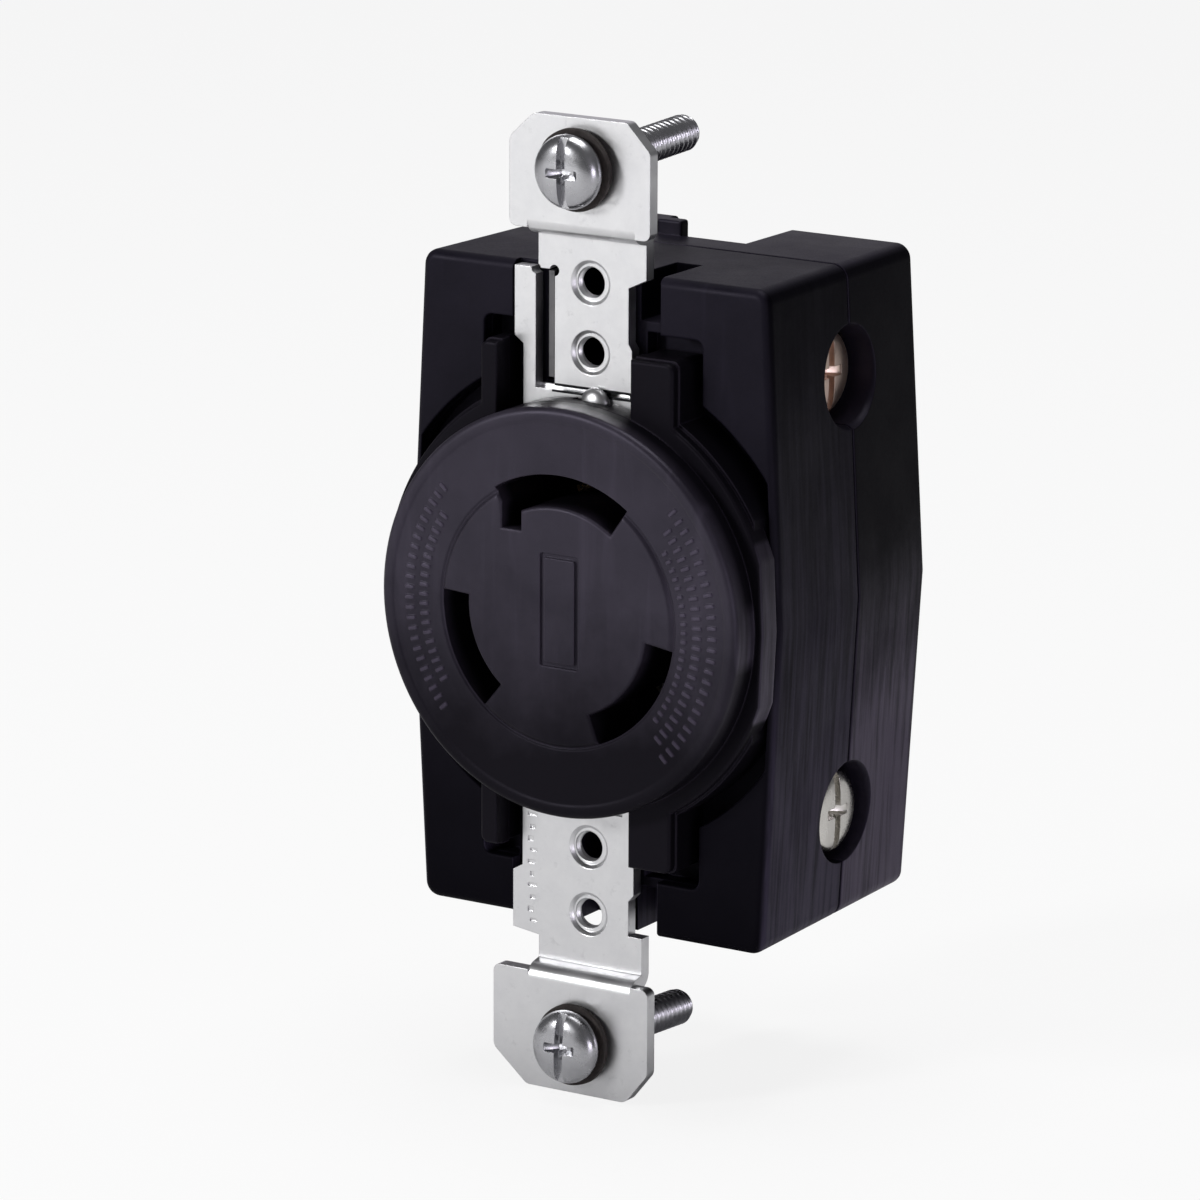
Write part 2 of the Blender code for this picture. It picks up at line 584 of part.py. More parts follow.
# -------------------------------------------------------------------- screws
def screw_profile(crown, shank_r, length, tip_inset, tip_h):
    """Profile below a crown of (radius, height) points, with a coned tip."""
    return [(0, crown[0][1]), *crown, (crown[-1][0], 0), (shank_r, 0),
            (shank_r, tip_h - length), (shank_r - tip_inset, -length), (0, -length)]


def driver_recess(screw, name, direction, top, width, depth, length):
    """Straight slot with a shorter cross slot, sunk into a screw's head. `top` is the
    middle of the head's top. Returns the cutters."""
    axis = "xyz".index(direction[1])
    inward = -1 if direction[0] == "+" else 1
    across, along = [i for i in range(3) if i != axis]
    cutters = []
    for n, reach in enumerate((length, length * 0.55)):
        limits = [None] * 3
        limits[axis] = sorted((top[axis] - inward * OVER, top[axis] + inward * depth))
        limits[across] = (top[across] - width / 2, top[across] + width / 2)
        limits[along] = (top[along] - reach / 2, top[along] + reach / 2)
        cutters.append(box(f"t_drive_{name}_{n}", *limits))
        across, along = along, across
    cut(screw, *cutters)
    return cutters


HEAD_H, HEAD_R, SHANK_R = 2.4, 4.0, 2.05
TERM_CROWN = [(HEAD_R - 0.7, HEAD_H), (HEAD_R, HEAD_H - 0.6)]
TERM_TIP_X = 6.3
NUT_X = (7.2, 9.7)            # clamp nut, backed right off
BITE_Y = (-3.6, -2.4, 2.4, 3.6)         # serrations that bite the wire, from the screw axis


def terminal_screw(key, term):
    way = "+x" if term.side > 0 else "-x"
    z = term.level * TERM_Z
    profile = screw_profile(TERM_CROWN, SHANK_R, term.head_seat - TERM_TIP_X,
                            tip_inset=0.5, tip_h=0.5)
    screw = turned(key + "_terminal_screw", profile, way,
                   (term.side * term.head_seat, Y_PARTING, z))
    driver_recess(screw, key, way, (term.side * (term.head_seat + HEAD_H), Y_PARTING, z),
                  width=1.1, depth=1.1, length=9.0)
    dress(screw, term.screw_look)


def clamp_nut(key, term):
    nut = box(key + "_clamp_nut", span(term.side, *NUT_X), (16.4, 25.9),
              span(term.level, 16.1, 25.9), tool=False)
    cut(nut, rod("t_nut_hole_" + key, 2.17, "x", *span(term.side, 6.0, 11.0),
                 (Y_PARTING, term.level * TERM_Z), 24))
    face = term.side * NUT_X[1]
    for n, dy in enumerate(BITE_Y):
        y = Y_PARTING + dy
        cut(nut, box(f"t_bite_{key}_{n}", widen((face, face), 0.35), widen((y, y), 0.3),
                     span(term.level, 15.0, 27.0)))
    dress(nut, "steel")


# Mounting screws, 6-32
MS_HEAD_R, MS_HEAD_H = 3.5, 1.75
MS_CROWN = [(MS_HEAD_R - 1.1, MS_HEAD_H), (MS_HEAD_R - 0.35, MS_HEAD_H - 0.35),
            (MS_HEAD_R, MS_HEAD_H - 1.0)]
MS_SHANK_R, MS_LENGTH = 1.75, 20.5
MS_SEAT = 2.3                 # underside of the heads, backed out of the ears
RETAINER_Y, RETAINER_R, RETAINER_T = 2.65, 3.9, 0.6


def lean(pivot, degrees, obs):
    """Turn pieces about the X direction through a pivot given as (y, z)."""
    bpy.context.view_layer.update()
    centre = Vector((0, *pivot)) * MM
    turn = (Matrix.Translation(centre) @ Matrix.Rotation(math.radians(degrees), 4, 'X')
            @ Matrix.Translation(-centre))
    for ob in obs:
        ob.matrix_world = turn @ ob.matrix_world


def mounting_screw(label, z):
    """Returns the screw and its cutters."""
    profile = screw_profile(MS_CROWN, MS_SHANK_R, MS_LENGTH, tip_inset=0.7, tip_h=0.8)
    screw = turned(label + "_mounting_screw", profile, "-y", (0, MS_SEAT, z))
    cutters = driver_recess(screw, label, "-y", (0, MS_SEAT - MS_HEAD_H, z),
                            width=1.0, depth=1.0, length=7.8)
    dress(screw, "zinc")
    return [screw, *cutters]


def screw_retainer(label, z):
    """Washer on a mounting screw. Returns it and its cutter."""
    keeper = rod(label + "_screw_retainer", RETAINER_R, "y", RETAINER_Y,
                 RETAINER_Y + RETAINER_T, (0, z), tool=False)
    hole = rod("t_keeper_" + label, 1.87, "y", RETAINER_Y - OVER, RETAINER_Y + 2 * OVER,
               (0, z), 24)
    cut(keeper, hole)
    dress(keeper, "fibre")
    return [keeper, hole]


def housing_screw(name, x, z):
    profile = screw_profile([(1.6, 1.6), (1.9, 1.2)], 1.2, 20.5, tip_inset=0.8, tip_h=1.1)
    screw = turned(name, profile, "+y", (x, HS_SEAT_Y, z), 16)
    driver_recess(screw, name, "+y", (x, HS_SEAT_Y + 1.6, z), width=0.6, depth=0.8, length=2.6)
    dress(screw, "steel")


RIVET = [(0, 0.9), (0.9, 0.9), (1.6, 0.45), (1.6, 0), (1.0, 0), (1.0, -7.2), (0, -7.2)]


def strap_rivet(label, z):
    dress(turned("strap_rivet_" + label, RIVET, "-y", (RIVET_X, 5.55, z), 16), "steel")


# Ground bond clip: (y, z)
CLIP = [(6.9, 20.6), (6.9, 30.6), (9.0, 30.6), (11.0, 26.0), (19.7, 26.0), (19.7, 15.2),
        (19.0, 15.2), (19.0, 20.6)]


def ground_bond_clip():
    dress(sheet("ground_bond_clip", CLIP, -5.25, -4.65, plane="yz", tool=False), "steel")


# ------------------------------------------------------------------ assembly
front_housing()
rear_housing()
nose_face()
mounting_strap()
for key, slot in SLOTS.items():
    contact(key, slot)
    contact_spring(key, slot)
for key, term in TERMINALS.items():
    terminal_screw(key, term)
    clamp_nut(key, term)
# the mounting screws sit low in their slots (offset in z) and lean (degrees)
for label, sign, offset, degrees in (("top", 1, -0.5, 2.0), ("bottom", -1, -0.6, -3.5)):
    z = sign * EAR_HOLE_Z + offset
    loose = mounting_screw(label, z) + screw_retainer(label, z)
    lean((Y_EAR + STRAP_T / 2, z), degrees, loose)
for side, side_label in ((-1, "left"), (1, "right")):
    for sign, label in ((1, "upper"), (-1, "lower")):
        housing_screw(f"housing_screw_{label}_{side_label}", side * HS_X, sign * HS_Z)
for sign, label in ((1, "upper"), (-1, "lower")):
    strap_rivet(label, sign * RIVET_Z)
ground_bond_clip()
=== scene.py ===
"""Three-slot receptacle: a round nose and a two-part moulded body on a zinc mounting strap.

Sizes are millimetres. The nose's face lies in y = 0 and looks along -Y, the body runs back along
+Y, and the strap's two ears lie above and below it along Z. The nose's axis is x = z = 0.
"""
import math
from contextlib import contextmanager

import bmesh
import bpy
from mathutils import Matrix, Vector


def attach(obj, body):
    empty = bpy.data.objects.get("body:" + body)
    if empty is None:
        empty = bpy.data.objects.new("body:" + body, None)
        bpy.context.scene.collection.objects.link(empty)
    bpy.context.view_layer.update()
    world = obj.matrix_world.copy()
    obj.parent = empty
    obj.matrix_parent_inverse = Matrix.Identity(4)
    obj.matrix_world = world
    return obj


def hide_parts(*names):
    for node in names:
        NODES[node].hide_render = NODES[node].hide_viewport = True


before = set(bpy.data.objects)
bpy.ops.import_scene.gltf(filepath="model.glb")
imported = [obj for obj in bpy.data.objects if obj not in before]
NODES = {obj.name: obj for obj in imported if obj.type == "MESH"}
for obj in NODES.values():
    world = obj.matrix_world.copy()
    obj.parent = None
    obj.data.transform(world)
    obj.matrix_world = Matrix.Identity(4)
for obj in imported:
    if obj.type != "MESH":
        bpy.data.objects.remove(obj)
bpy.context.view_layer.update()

MM = 0.001
GAP = 0.3                            # clearance between parts

# Depths, front to back
Y_FACE = 0.0
Y_COLLAR = 3.24                      # front of the collar round the nose
Y_EAR = 3.78                         # front of the strap's ears
Y_STRAP_ROOM = 5.48                  # floor of the nose's hollow for the strap
Y_NECK = 5.78                        # front of the strap's ring and necks
Y_BODY = 6.07                        # front of the body
Y_MOAT, Y_WELL = 9.05, 10.0
Y_PARTING, Y_REAR = 21.15, 34.26
STRAP_T = 1.3
Y_LAND = Y_NECK + STRAP_T + GAP
Y_FRONT_END, Y_REAR_START = Y_PARTING - GAP / 2, Y_PARTING + GAP / 2

# Body outline: half width at mid height, half width at the ends, half height
BODY_FRONT = FRONT_MID, FRONT_END, FRONT_HALF_H = 20.33, 18.77, 31.36
BODY_REAR = 19.65, 17.70, 31.20
SLOPE = (FRONT_MID - FRONT_END) / FRONT_HALF_H
CORNER_R, EDGE_R = 1.5, 0.9

# Nose, collar with its upper and lower tabs, and the moat they sit in
NOSE_R, NOSE_RIM_R, Y_NOSE_BACK = 19.4, 0.62, 4.4
FACE_STEP = 0.14                     # how far the low band of the face lies back
COLLAR_R, TAB_X, TAB_Z = 21.0, 10.47, 24.1
MOAT_R, MOAT_X, MOAT_Z, SEAT_R = 23.2, 11.85, 26.0, 17.4
# Curved slots: middle and half angle in degrees from +X towards +Z, inner and outer radius
SLOTS = {"ground": (88.0, 33.0, 10.15, 13.10),
         "line": (203.5, 27.0, 9.75, 12.60),
         "neutral": (321.5, 30.0, 9.75, 12.60)}

# Strap
RING_R0, RING_R1 = 14.0, 17.2
EAR_HOLE_Z = 41.67
COVER_HOLE_Z = (23.6, 30.15)         # inner and outer tapped hole of each neck
RIVET_X, RIVET_Z, RIVET_HOLE_R = 0.8, 18.9, 1.25

# Terminals: the side (sign of x) and the end (sign of z) each one is at
STATIONS = {"line": (1, 1), "neutral": (1, -1), "ground": (-1, 1)}
TERM_Z, ACCESS_R = 21.0, 4.77
HEAD_SEAT = {"line": 14.35, "neutral": 15.6, "ground": 14.35}   # x of the seat under each head
TERM_TIP = 6.3                       # x where the terminal screws end
BLIND_FLOOR = 18.1                   # floor of the access hole that has no terminal
CHAMBER_X, CHAMBER_Z = (6.0, 15.3), (15.4, 26.6)
ROOM_X, ROOM_Z = (-15.2, 15.2), (-15.6, 15.6)                   # room in the middle of the body
WIRE_X, WIRE_DZ = 11.33, 3.7

# Screws
PITCH = 0.79375
SHANK_R = 2.05
CASE_SCREW_X, CASE_SCREW_Z = 14.9, 28.3
MOUNT_SEAT_Y = 2.3
# Loose mounting screws: end, shift along z, tilt about X in degrees
HANG = {"top": (1, -0.5, 2.0), "bottom": (-1, -0.6, -3.5)}
ENDS = ((1, "upper"), (-1, "lower"))
OUTSIDE = 40                         # a distance beyond the body, for cutters that run out

RIGHT, BACK = Vector((1, 0, 0)), Vector((0, 1, 0))
TOOLS = []                           # cutters and additions waiting for the next bake


# ---------------------------------------------------------------------------- mesh kit
@contextmanager
def editing(mesh):
    bm = bmesh.new()
    bm.from_mesh(mesh)
    yield bm
    bm.to_mesh(mesh)
    bm.free()


def make_object(name, verts, faces, tool=False):
    """New object from millimetre coordinates, normals outwards."""
    mesh = bpy.data.meshes.new(name)
    mesh.from_pydata([(x * MM, y * MM, z * MM) for x, y, z in verts], [], faces)
    with editing(mesh) as bm:
        bmesh.ops.remove_doubles(bm, verts=bm.verts, dist=2e-7)
        bmesh.ops.recalc_face_normals(bm, faces=bm.faces)
    ob = bpy.data.objects.new(name, mesh)
    bpy.context.scene.collection.objects.link(ob)
    if tool:
        TOOLS.append(ob)
    return ob


def loft(name, rings, tool=False, looped=False):
    """Skin over rings of equal length, capped, or with the last ring joined to the first."""
    n, count = len(rings[0]), len(rings)
    verts = [point for ring in rings for point in ring]
    faces = []
    if not looped:
        faces = [list(range(n))[::-1], [(count - 1) * n + i for i in range(n)]]
    for k in range(count if looped else count - 1):
        here, there = k * n, (k + 1) % count * n
        for i in range(n):
            j = (i + 1) % n
            faces.append([here + i, here + j, there + j, there + i])
    return make_object(name, verts, faces, tool)


def inset(outline, distance):
    """Offset a closed outline inwards, or outwards if the distance is negative."""
    n = len(outline)
    area = sum(outline[i - 1][0] * outline[i][1] - outline[i][0] * outline[i - 1][1]
               for i in range(n))
    sign = 1 if area > 0 else -1
    out = []
    for i, (x, z) in enumerate(outline):
        last, following = outline[i - 1], outline[(i + 1) % n]
        edge0 = Vector((x - last[0], z - last[1])).normalized()
        edge1 = Vector((following[0] - x, following[1] - z)).normalized()
        normal0 = Vector((-edge0.y, edge0.x)) * sign
        normal1 = Vector((-edge1.y, edge1.x)) * sign
        mitre = max(1 + normal0.dot(normal1), 0.3)
        out.append((x + distance * (normal0.x + normal1.x) / mitre,
                    z + distance * (normal0.y + normal1.y) / mitre))
    return out


def at_y(outline, y):
    return [(x, y, z) for x, z in outline]


def prism(name, outline, y0, y1, tool=True):
    return loft(name, [at_y(outline, y0), at_y(outline, y1)], tool)


def edged_rings(outline_at, y0, y1, r0, r1, n0, n1):
    """Rings from y0 to y1 with rounded front (r0, n0 steps) and back (r1, n1 steps) edges."""
    rings = []
    for k in range(n0 + 1):
        angle = math.pi / 2 * k / n0
        y = y0 + r0 * (1 - math.cos(angle))
        rings.append(at_y(inset(outline_at(y), r0 * (1 - math.sin(angle))), y))
    for k in range(n1 + 1):
        angle = math.pi / 2 * k / n1
        y = y1 - r1 * (1 - math.sin(angle))
        rings.append(at_y(inset(outline_at(y), r1 * (1 - math.cos(angle))), y))
    return rings


def plate(name, outline, y0, y1, r0, r1, steps, tool=False):
    """Flat plate with rounded front and back edges."""
    return loft(name, edged_rings(lambda y: outline, y0, y1, r0, r1, steps, steps), tool)


def lipped_hole(name, outline, y_surface, y_end, lip, steps=4):
    """Cutter for a hole that runs back from y_surface and has a rounded lip there."""
    wide = inset(outline, -lip)
    rings = [at_y(wide, y_surface - 2.0), at_y(wide, y_surface - 0.01)]
    for k in range(1, steps + 1):
        angle = math.pi / 2 * k / steps
        rings.append(at_y(inset(outline, -lip * (1 - math.sin(angle))),
                          y_surface + lip * (1 - math.cos(angle))))
    rings.append(at_y(outline, y_end))
    return loft(name, rings, True)


def block(name, xs, ys, zs):
    verts = [(x, y, z) for x in xs for y in ys for z in zs]
    faces = [(0, 1, 3, 2), (4, 6, 7, 5), (0, 4, 5, 1), (2, 3, 7, 6), (0, 2, 6, 4), (1, 5, 7, 3)]
    return make_object(name, verts, faces, True)


def mirrored(span, sign):
    """A range on the positive side, taken to the side given by sign."""
    return sorted(sign * value for value in span)


def turned_ring(way, at, radii, height):
    """Points round the axis `way` through `at`, evenly spaced, one for each radius."""
    first = Vector((0, 0, 1))
    second = way.cross(first)
    base = Vector(at) + way * height
    ring = []
    for i, radius in enumerate(radii):
        angle = 2 * math.pi * i / len(radii)
        ring.append(tuple(base + first * (radius * math.cos(angle))
                          + second * (radius * math.sin(angle))))
    return ring


def lathe(name, profile, at, steps, way=BACK, tool=False):
    """Turned shape from a pole-to-pole (radius, height) profile along `way`."""
    verts, rings, faces = [], [], []
    for radius, height in profile:
        ring = turned_ring(way, at, [radius] * (1 if radius < 1e-6 else steps), height)
        rings.append([len(verts) + i for i in range(len(ring))])
        verts += ring
    for a, b in zip(rings, rings[1:]):
        for i in range(steps):
            j = (i + 1) % steps
            if len(a) == 1:
                faces.append([a[0], b[i], b[j]])
            elif len(b) == 1:
                faces.append([a[i], a[j], b[0]])
            else:
                faces.append([a[i], a[j], b[j], b[i]])
    return make_object(name, verts, faces, tool)


def drill(name, radius, h0, h1, at=(0, 0, 0), steps=24):
    """Round cutter along +Y between heights h0 and h1 from `at`."""
    return lathe(name, [(0, h0), (radius, h0), (radius, h1), (0, h1)], at, steps, tool=True)


def thread(name, major, minor, way, at, h0, h1, rows_per_turn, tip=0, taper=0, outer=None,
           pitch=PITCH):
    """Right-hand thread between heights h0 and h1, thinned over `tip` and `taper` at its ends.
    With `outer` it is the lining of a tapped hole: a tube of that radius, threaded inside."""
    steps = 40
    rows = max(2, int(round((h1 - h0) / pitch * rows_per_turn)))
    rings = []
    for row in range(rows + 1):
        height = h0 + (h1 - h0) * row / rows
        left = h1 - height
        radii = []
        for i in range(steps):
            angle = 2 * math.pi * i / steps
            wave = abs(2 * ((height / pitch - angle / (2 * math.pi)) % 1.0) - 1)
            radius = minor + (major - minor) * min(max((wave - 0.12) / 0.72, 0.0), 1.0)
            if left < tip:
                radius = min(radius, major - (tip - left) * 0.75)
            if height - h0 < taper:
                radius = minor + (radius - minor) * (height - h0) / taper
            radii.append(radius)
        rings.append(turned_ring(way, at, radii, height))
    if outer is not None:
        rings += [turned_ring(way, at, [outer] * steps, height) for height in (h1, h0)]
    return loft(name, rings, looped=outer is not None)


def boolean(ob, operation, tools):
    for tool in tools:
        modifier = ob.modifiers.new("boolean", 'BOOLEAN')
        modifier.operation = operation
        modifier.solver = 'EXACT'
        modifier.object = tool


def cut(ob, *tools):
    boolean(ob, 'DIFFERENCE', tools)


def add(ob, *tools):
    boolean(ob, 'UNION', tools)


def bake(ob):
    """Write the modifiers into the mesh and remove the tools."""
    bpy.context.view_layer.update()
    deps = bpy.context.evaluated_depsgraph_get()
    mesh = bpy.data.meshes.new_from_object(ob.evaluated_get(deps))
    old = ob.data
    ob.modifiers.clear()
    ob.data = mesh
    bpy.data.meshes.remove(old)
    while TOOLS:
        bpy.data.objects.remove(TOOLS.pop(), do_unlink=True)


def join(ob, *others):
    """Several closed shells in one piece."""
    with editing(ob.data) as bm:
        for other in others:
            bm.from_mesh(other.data)
    for other in others:
        bpy.data.objects.remove(other, do_unlink=True)


def clean(ob, angle=32):
    """Merge slivers, shade smooth below the angle and add a normals modifier."""
    with editing(ob.data) as bm:
        bmesh.ops.remove_doubles(bm, verts=bm.verts, dist=4e-7)
        bmesh.ops.dissolve_degenerate(bm, edges=bm.edges, dist=4e-7)
        loose = [v for v in bm.verts if not v.link_faces]
        bmesh.ops.delete(bm, geom=loose, context='VERTS')
    ob.data.shade_smooth()
    ob.data.set_sharp_from_angle(angle=math.radians(angle))
    modifier = ob.modifiers.new("even_normals", 'WEIGHTED_NORMAL')
    modifier.keep_sharp = True
    modifier.weight = 80


# ---------------------------------------------------------------------------- outlines
def arc(radius, start, end, steps):
    """Points on a circle about the origin, angles in degrees."""
    angles = [math.radians(start + (end - start) * i / steps) for i in range(steps + 1)]
    return [(radius * math.cos(angle), radius * math.sin(angle)) for angle in angles]


def sector(r0, r1, centre, half, steps):
    return (arc(r1, centre - half, centre + half, steps)
            + arc(r0, centre + half, centre - half, steps))


def rounded(points, radii, steps=6):
    """Outline with rounded corners; `radii` is one radius or a list with one per corner."""
    out = []
    for i, point in enumerate(points):
        radius = radii[i] if isinstance(radii, list) else radii
        corner = Vector(point)
        if radius <= 0:
            out.append(tuple(corner))
            continue
        before = (Vector(points[i - 1]) - corner).normalized()
        after = (Vector(points[(i + 1) % len(points)]) - corner).normalized()
        half = before.angle(after) / 2
        reach = radius / math.tan(half)
        centre = corner + (before + after).normalized() * (radius / math.sin(half))
        start, end = corner + before * reach - centre, corner + after * reach - centre
        sweep = math.atan2(start.x * end.y - start.y * end.x, start.dot(end))
        base = math.atan2(start.y, start.x)
        for k in range(steps + 1):
            angle = base + sweep * k / steps
            out.append((centre.x + radius * math.cos(angle),
                        centre.y + radius * math.sin(angle)))
    return out


def rect(xs, zs, radius=0.0, steps=4):
    corners = [(xs[0], zs[0]), (xs[1], zs[0]), (xs[1], zs[1]), (xs[0], zs[1])]
    return rounded(corners, radius, steps) if radius else corners


def shoulder(radius, side, tab_x, tab_z):
    """Circle cut by the body's sloping flanks, with a tab above and below."""
    slant = 1 + SLOPE * SLOPE
    flank_z = (SLOPE * side + math.sqrt(radius ** 2 * slant - side ** 2)) / slant
    start = math.degrees(math.asin(flank_z / radius))
    end = math.degrees(math.acos(tab_x / radius))
    tab = rounded([(tab_x, 0), (tab_x, tab_z), (0, tab_z)], [0, 0.8, 0])[1:-1]
    quarter = [(side, 0)] + arc(radius, start, end, 20) + tab
    half = quarter + [(-x, z) for x, z in reversed(quarter)]
    return half[:-1] + [(x, -z) for x, z in reversed(half)][:-1]


# --------------------------------------------------------------------------- materials
def times(colour, factor):
    return tuple(min(1.0, channel * factor) for channel in colour)


class Look:
    """Small builder for node materials, with texture coordinates in millimetres."""

    def __init__(self, name):
        self.mat = bpy.data.materials.new(name)
        self.mat.use_nodes = True
        self.tree = self.mat.node_tree
        self.bsdf = self.tree.nodes["Principled BSDF"]
        self.obj = self.scale(self.node("TexCoord").outputs["Object"], (1000, 1000, 1000))

    def node(self, kind):
        return self.tree.nodes.new("ShaderNode" + kind)

    def feed(self, socket, value):
        """Link an output, or set a number or a colour."""
        if hasattr(value, "links"):
            self.tree.links.new(value, socket)
        elif isinstance(value, tuple):
            socket.default_value = (*value, 1.0) if len(value) == 3 else value
        else:
            socket.default_value = value

    def scale(self, vector, factors):
        mapping = self.node("Mapping")
        mapping.inputs["Scale"].default_value = factors
        self.feed(mapping.inputs["Vector"], vector)
        return mapping.outputs["Vector"]

    def noise(self, scale, detail=4.0, rough=0.55, stretch=None, distortion=0.0):
        vector = self.scale(self.obj, stretch) if stretch else self.obj
        noise = self.node("TexNoise")
        noise.inputs["Scale"].default_value = scale
        noise.inputs["Detail"].default_value = detail
        noise.inputs["Roughness"].default_value = rough
        noise.inputs["Distortion"].default_value = distortion
        self.feed(noise.inputs["Vector"], vector)
        return noise.outputs["Fac"]

    def span(self, value, from_min, from_max, to_min=0.0, to_max=1.0):
        ramp = self.node("MapRange")
        ramp.clamp = True
        ramp.inputs["From Min"].default_value = from_min
        ramp.inputs["From Max"].default_value = from_max
        ramp.inputs["To Min"].default_value = to_min
        ramp.inputs["To Max"].default_value = to_max
        self.feed(ramp.inputs["Value"], value)
        return ramp.outputs["Result"]

    def math(self, operation, first, second=0.0):
        node = self.node("Math")
        node.operation = operation
        self.feed(node.inputs[0], first)
        self.feed(node.inputs[1], second)
        return node.outputs[0]

    def times(self, first, second):
        return self.math('MULTIPLY', first, second)

    def mix(self, share, under, over):
        node = self.node("Mix")
        node.data_type = 'RGBA'
        for socket, value in ((0, share), (6, under), (7, over)):
            self.feed(node.inputs[socket], value)
        return node.outputs[2]

    def bump(self, height, strength, distance, normal=None):
        node = self.node("Bump")
        node.inputs["Strength"].default_value = strength
        node.inputs["Distance"].default_value = distance * MM
        self.feed(node.inputs["Height"], height)
        if normal is not None:
            self.feed(node.inputs["Normal"], normal)
        return node.outputs["Normal"]

    def axes(self, vector):
        node = self.node("SeparateXYZ")
        self.feed(node.inputs[0], vector)
        return node.outputs

    def edges(self, radius):
        """Rounded-edge normal, and a mask that is 1 on edges."""
        bevel = self.node("Bevel")
        bevel.samples = 4
        bevel.inputs["Radius"].default_value = radius * MM
        geometry = self.node("NewGeometry")
        dot = self.node("VectorMath")
        dot.operation = 'DOT_PRODUCT'
        self.feed(dot.inputs[0], bevel.outputs["Normal"])
        self.feed(dot.inputs[1], geometry.outputs["Normal"])
        return bevel.outputs["Normal"], self.span(dot.outputs["Value"], 0.995, 0.86)

    def set(self, **values):
        for key, value in values.items():
            self.feed(self.bsdf.inputs[key.replace("_", " ")], value)
        return self.mat


def moulded(name, base, lift, rough, sheen, flank_fade, flank_lit_colour, light_heights=None, shade_depths=None,
            flank_from=0.0, worn_ring=None):
    """Phenolic moulding: purple-black, faint flow marks, fine orange peel, smoother edges with a
    painted highlight, and painted light and shade set by height, depth and side.

    base, lift    the darker and the lighter colour of its clouds
    light_heights heights over which painted light rises from painted shade to full colour
    flank_fade    the same for faces to the left and right, which take on flank_lit_colour as painted light
    shade_depths  depths over which the painted light gives way to painted shade
    flank_from    distance from x = 0 where the flank's painted light starts
    worn_ring     radii between which the tops of raised marks are rubbed lighter
    """
    look = Look(name)
    cloud = look.noise(0.11, detail=5.0, rough=0.6)
    flow = look.noise(1.0, detail=3.0, rough=0.5, stretch=(0.55, 0.22, 0.05), distortion=0.6)
    drag = look.noise(1.0, detail=4.0, rough=0.6, stretch=(0.2, 1.3, 0.07), distortion=0.3)
    speck = look.noise(5.5, detail=2.0, rough=0.7)
    colour = look.mix(look.span(cloud, 0.35, 0.68), base, lift)
    colour = look.mix(look.span(flow, 0.55, 0.75, to_max=0.35), colour, times(lift, 1.9))
    colour = look.mix(look.span(speck, 0.66, 0.78, to_max=0.30), colour, times(lift, 3.2))

    bevel, edge = look.edges(0.22)
    roughness = look.math('ADD', look.span(cloud, 0.3, 0.7, rough - 0.06, rough + 0.07),
                          look.span(speck, 0.5, 0.8, to_max=0.10))
    roughness = look.math('SUBTRACT', roughness, look.times(edge, 0.10))
    peel = look.noise(1.7, detail=3.0, rough=0.5)
    normal = look.bump(peel, strength=0.20, distance=0.05, normal=bevel)
    normal = look.bump(flow, strength=0.10, distance=0.08, normal=normal)
    normal = look.bump(speck, strength=0.12, distance=0.012, normal=normal)

    place = look.axes(look.obj)
    facing = look.axes(look.node("NewGeometry").outputs["Normal"])
    waver = look.times(look.math('SUBTRACT', cloud, 0.5), 12.0)
    height = look.math('ADD', place["Z"], waver)
    # painted light: lighter higher up, through a cloudy border, with painted shade low down
    bright = look.span(height, *light_heights) if light_heights else 1.0
    # painted shade: darker further back, on side walls and in recesses
    if shade_depths:
        bright = look.times(bright, look.span(place["Y"], *shade_depths, 1.0, 0.0))
    # painted light on faces to the left and right: the lit flank colour in streaky patches,
    # stronger towards the bottom
    flank = look.span(look.math('ABSOLUTE', facing["X"]), 0.45, 0.8)
    if flank_from:
        out = look.math('ABSOLUTE', place["X"])
        flank = look.times(flank, look.span(out, flank_from, flank_from + 0.2))
    patch = look.times(look.span(height, *flank_fade), look.span(drag, 0.30, 0.62, 0.55, 1.35))
    colour = look.mix(look.times(flank, look.times(patch, 0.85)), colour, flank_lit_colour)
    rest = look.times(look.math('SUBTRACT', 1.0, flank), bright)
    bright = look.math('ADD', rest, look.times(flank, patch))
    # where the painted light is low the colour falls to painted shade, the base at 0.3
    colour = look.mix(bright, times(base, 0.30), colour)
    # the specular level also follows the painted light
    shine = look.times(look.math('ADD', look.times(bright, 0.75), 0.25), sheen)

    if worn_ring:
        inner, outer = worn_ring
        squares = [look.math('POWER', place[axis], 2.0) for axis in "XZ"]
        out = look.math('SQRT', look.math('ADD', *squares))
        ring = look.times(look.span(out, inner, inner + 0.05),
                          look.span(out, outer, outer + 0.05, 1.0, 0.0))
        top = look.times(ring, look.span(place["Y"], 0.05, 0.13, 1.0, 0.0))
        colour = look.mix(look.times(top, 0.55), colour, times(lift, 3.2))
    # painted highlight: edges lighter
    colour = look.mix(look.times(edge, 0.35), colour, times(lift, 2.4))
    return look.set(Base_Color=colour, Roughness=roughness, Metallic=0.0,
                    Specular_IOR_Level=shine, Specular_Tint=(0.84, 0.78, 1.0, 1.0),
                    Coat_Weight=0.0, Normal=normal)


